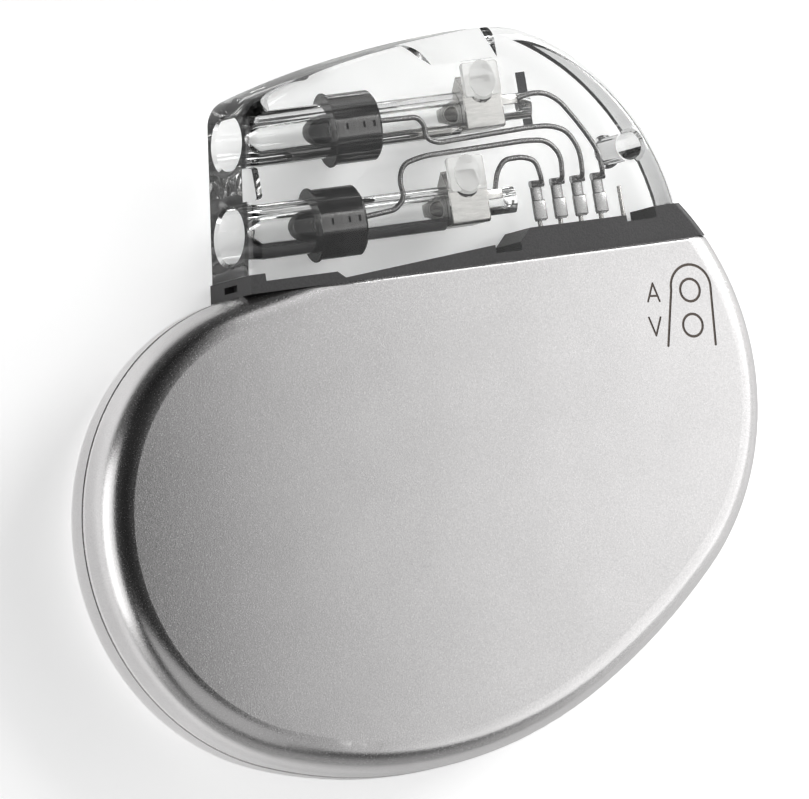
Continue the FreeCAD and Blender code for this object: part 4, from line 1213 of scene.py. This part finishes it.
class PacemakerStage(bpy.types.Operator):
    """Pale floor, soft studio light and the camera"""

    bl_idname = "pacemaker.stage"
    bl_label = "Floor, light and camera"

    def execute(self, context):
        scene = context.scene
        bm = bmesh.new()
        bmesh.ops.create_circle(bm, cap_ends=True, segments=96, radius=1.5)
        floor = bpy.data.objects.new("floor", mesh_from(bm, "floor"))
        scene.collection.objects.link(floor)
        floor.data.materials.append(self.floor_finish())
        wide = (KEY_END - KEY_START) / KEY_STRIP_COUNT
        for number in range(KEY_STRIP_COUNT):
            level = KEY_DIM + (KEY_BRIGHT - KEY_DIM) * (number + 0.5) / KEY_STRIP_COUNT
            self.overhead("key strip " + str(number + 1), KEY_START + wide * (number + 0.5), wide,
                          level)
        self.overhead("key panel", (KEY_END + KEY_FAR) / 2, KEY_FAR - KEY_END, KEY_BRIGHT)
        for name, lamp in LAMPS.items():
            self.softbox(name, *lamp)
        self.world(scene)
        camera = bpy.data.cameras.new("camera")
        camera.sensor_width = 36.0
        camera.lens = CAMERA_LENS
        camera.clip_start = 0.1
        camera.clip_end = 10.0
        view = bpy.data.objects.new("camera", camera)
        view.location = CAMERA_SPOT
        view.rotation_euler = [math.radians(turn) for turn in CAMERA_TURNS]
        scene.collection.objects.link(view)
        scene.camera = view
        scene.view_settings.view_transform = "Standard"
        return {"FINISHED"}

    def floor_finish(self):
        """White floor: its own glow brings it to white where it isn't in shadow."""
        made = finish("white floor", (0.9, 0.9, 0.9), 0.0, 0.9, grain=1.5, spread=0.004,
                      relief=0.02)
        tree = made.tree
        seen = put(tree, "ShaderNodeLightPath").outputs

        def glow_round(spot, far, stops):
            away = put(tree, "ShaderNodeVectorMath", {0: made.where, 1: Vector(spot) * MM},
                       operation="DISTANCE").outputs["Value"]
            return ramp(tree, compare(made, away, "DIVIDE", far), stops)

        # Far from the lamps the glow makes up for their light
        plain = compare(made, seen["Is Camera Ray"], "MULTIPLY",
                        glow_round(FLOOR_GLOW_SPOT, FLOOR_GLOW_REACH, FLOOR_GLOW))
        # Metal shows the glow on the part's left, and resin what is straight behind it
        metal = compare(made, seen["Is Glossy Ray"], "MULTIPLY",
                        glow_round(METAL_GLOW_SPOT, METAL_GLOW_REACH, METAL_GLOW))
        metal = compare(made, compare(made, seen["Transmission Depth"], "LESS_THAN", 0.5),
                        "MULTIPLY", metal)
        resin = compare(made, seen["Is Transmission Ray"], "MULTIPLY", RESIN_GLOW)
        resin = compare(made, compare(made, seen["Glossy Depth"], "LESS_THAN", 0.5),
                        "MULTIPLY", resin)
        amount = compare(made, compare(made, plain, "MAXIMUM", metal), "MAXIMUM", resin)
        glow = put(tree, "ShaderNodeEmission", {"Strength": amount})
        both = put(tree, "ShaderNodeAddShader", {0: made.shader.outputs[0], 1: glow.outputs[0]})
        tree.links.new(both.outputs[0], made.out.inputs["Surface"])
        return made.material

    def softbox(self, name, spot, aim, size, level):
        """A soft area light of a brightness, placed and aimed in millimetres."""
        lamp = bpy.data.lights.new(name, "AREA")
        lamp.shape = "RECTANGLE"
        lamp.size, lamp.size_y = size[0] * MM, size[1] * MM
        lamp.energy = math.pi * level * lamp.size * lamp.size_y
        light = bpy.data.objects.new(name, lamp)
        light.location = Vector(spot) * MM
        light.rotation_euler = (Vector(aim) - Vector(spot)).to_track_quat("-Z", "Y").to_euler()
        bpy.context.scene.collection.objects.link(light)

    def overhead(self, name, x, wide, level):
        """A part of the key light, which hangs level over the object."""
        self.softbox(name, (x, KEY_Y, KEY_HEIGHT), (x, KEY_Y, 0), (wide, KEY_WIDTH), level)

    def world(self, scene):
        """A studio round the object: white low down, darker overhead."""
        world = bpy.data.worlds.new("studio")
        scene.world = world
        world.use_nodes = True
        tree = world.node_tree
        tree.nodes.clear()
        way = put(tree, "ShaderNodeTexCoord").outputs["Generated"]
        along = put(tree, "ShaderNodeSeparateXYZ", {0: way}).outputs
        across = put(tree, "ShaderNodeMapRange", {"Value": along["Y"], "From Min": -1.0})
        light = mixed(tree, 1.0, ramp(tree, along["Z"], SKY),
                      ramp(tree, across.outputs[0], SKY_SIDES), "MULTIPLY")
        seen = put(tree, "ShaderNodeLightPath").outputs["Is Camera Ray"]
        sky = put(tree, "ShaderNodeBackground", {"Color": mixed(tree, seen, light, grey(1.0)),
                                                 "Strength": 1.0})
        put(tree, "ShaderNodeOutputWorld", {"Surface": sky.outputs[0]})


class PacemakerPanel(bpy.types.Panel):
    """Builds the pacemaker piece by piece"""

    bl_idname = "VIEW3D_PT_pacemaker"
    bl_label = "Pacemaker"
    bl_space_type = "VIEW_3D"
    bl_region_type = "UI"
    bl_category = "Pacemaker"

    def draw(self, context):
        column = self.layout.column(align=True)
        for kind in OPERATORS:
            column.operator(kind.bl_idname)
        for group in GROUPS:
            holder = getattr(context.scene, group)
            inside = self.layout.box()
            inside.label(text=group.replace("_", " ").capitalize())
            for name in GROUPS[group].__annotations__:
                inside.prop(holder, name)


GROUPS = {
    "pacemaker_can": PacemakerCanSizes,
    "pacemaker_header": PacemakerHeaderSizes,
    "pacemaker_contacts": PacemakerContactSizes,
    "pacemaker_finishes": PacemakerFinishes,
}
OPERATORS = (PacemakerShells, PacemakerHeader, PacemakerContacts, PacemakerWiring,
             PacemakerInside, PacemakerStage)


def register():
    for kind in (*GROUPS.values(), *OPERATORS, PacemakerPanel):
        bpy.utils.register_class(kind)
    for name, kind in GROUPS.items():
        setattr(bpy.types.Scene, name, PointerProperty(type=kind))


def unregister():
    for name in GROUPS:
        delattr(bpy.types.Scene, name)
    for kind in (PacemakerPanel, *reversed(OPERATORS), *reversed(GROUPS.values())):
        bpy.utils.unregister_class(kind)


def main():
    """Builds everything."""
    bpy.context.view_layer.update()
    register()
    for kind in OPERATORS:
        area, name = kind.bl_idname.split(".")
        getattr(getattr(bpy.ops, area), name)()
    bpy.context.view_layer.update()


if __name__ == "__main__":
    main()
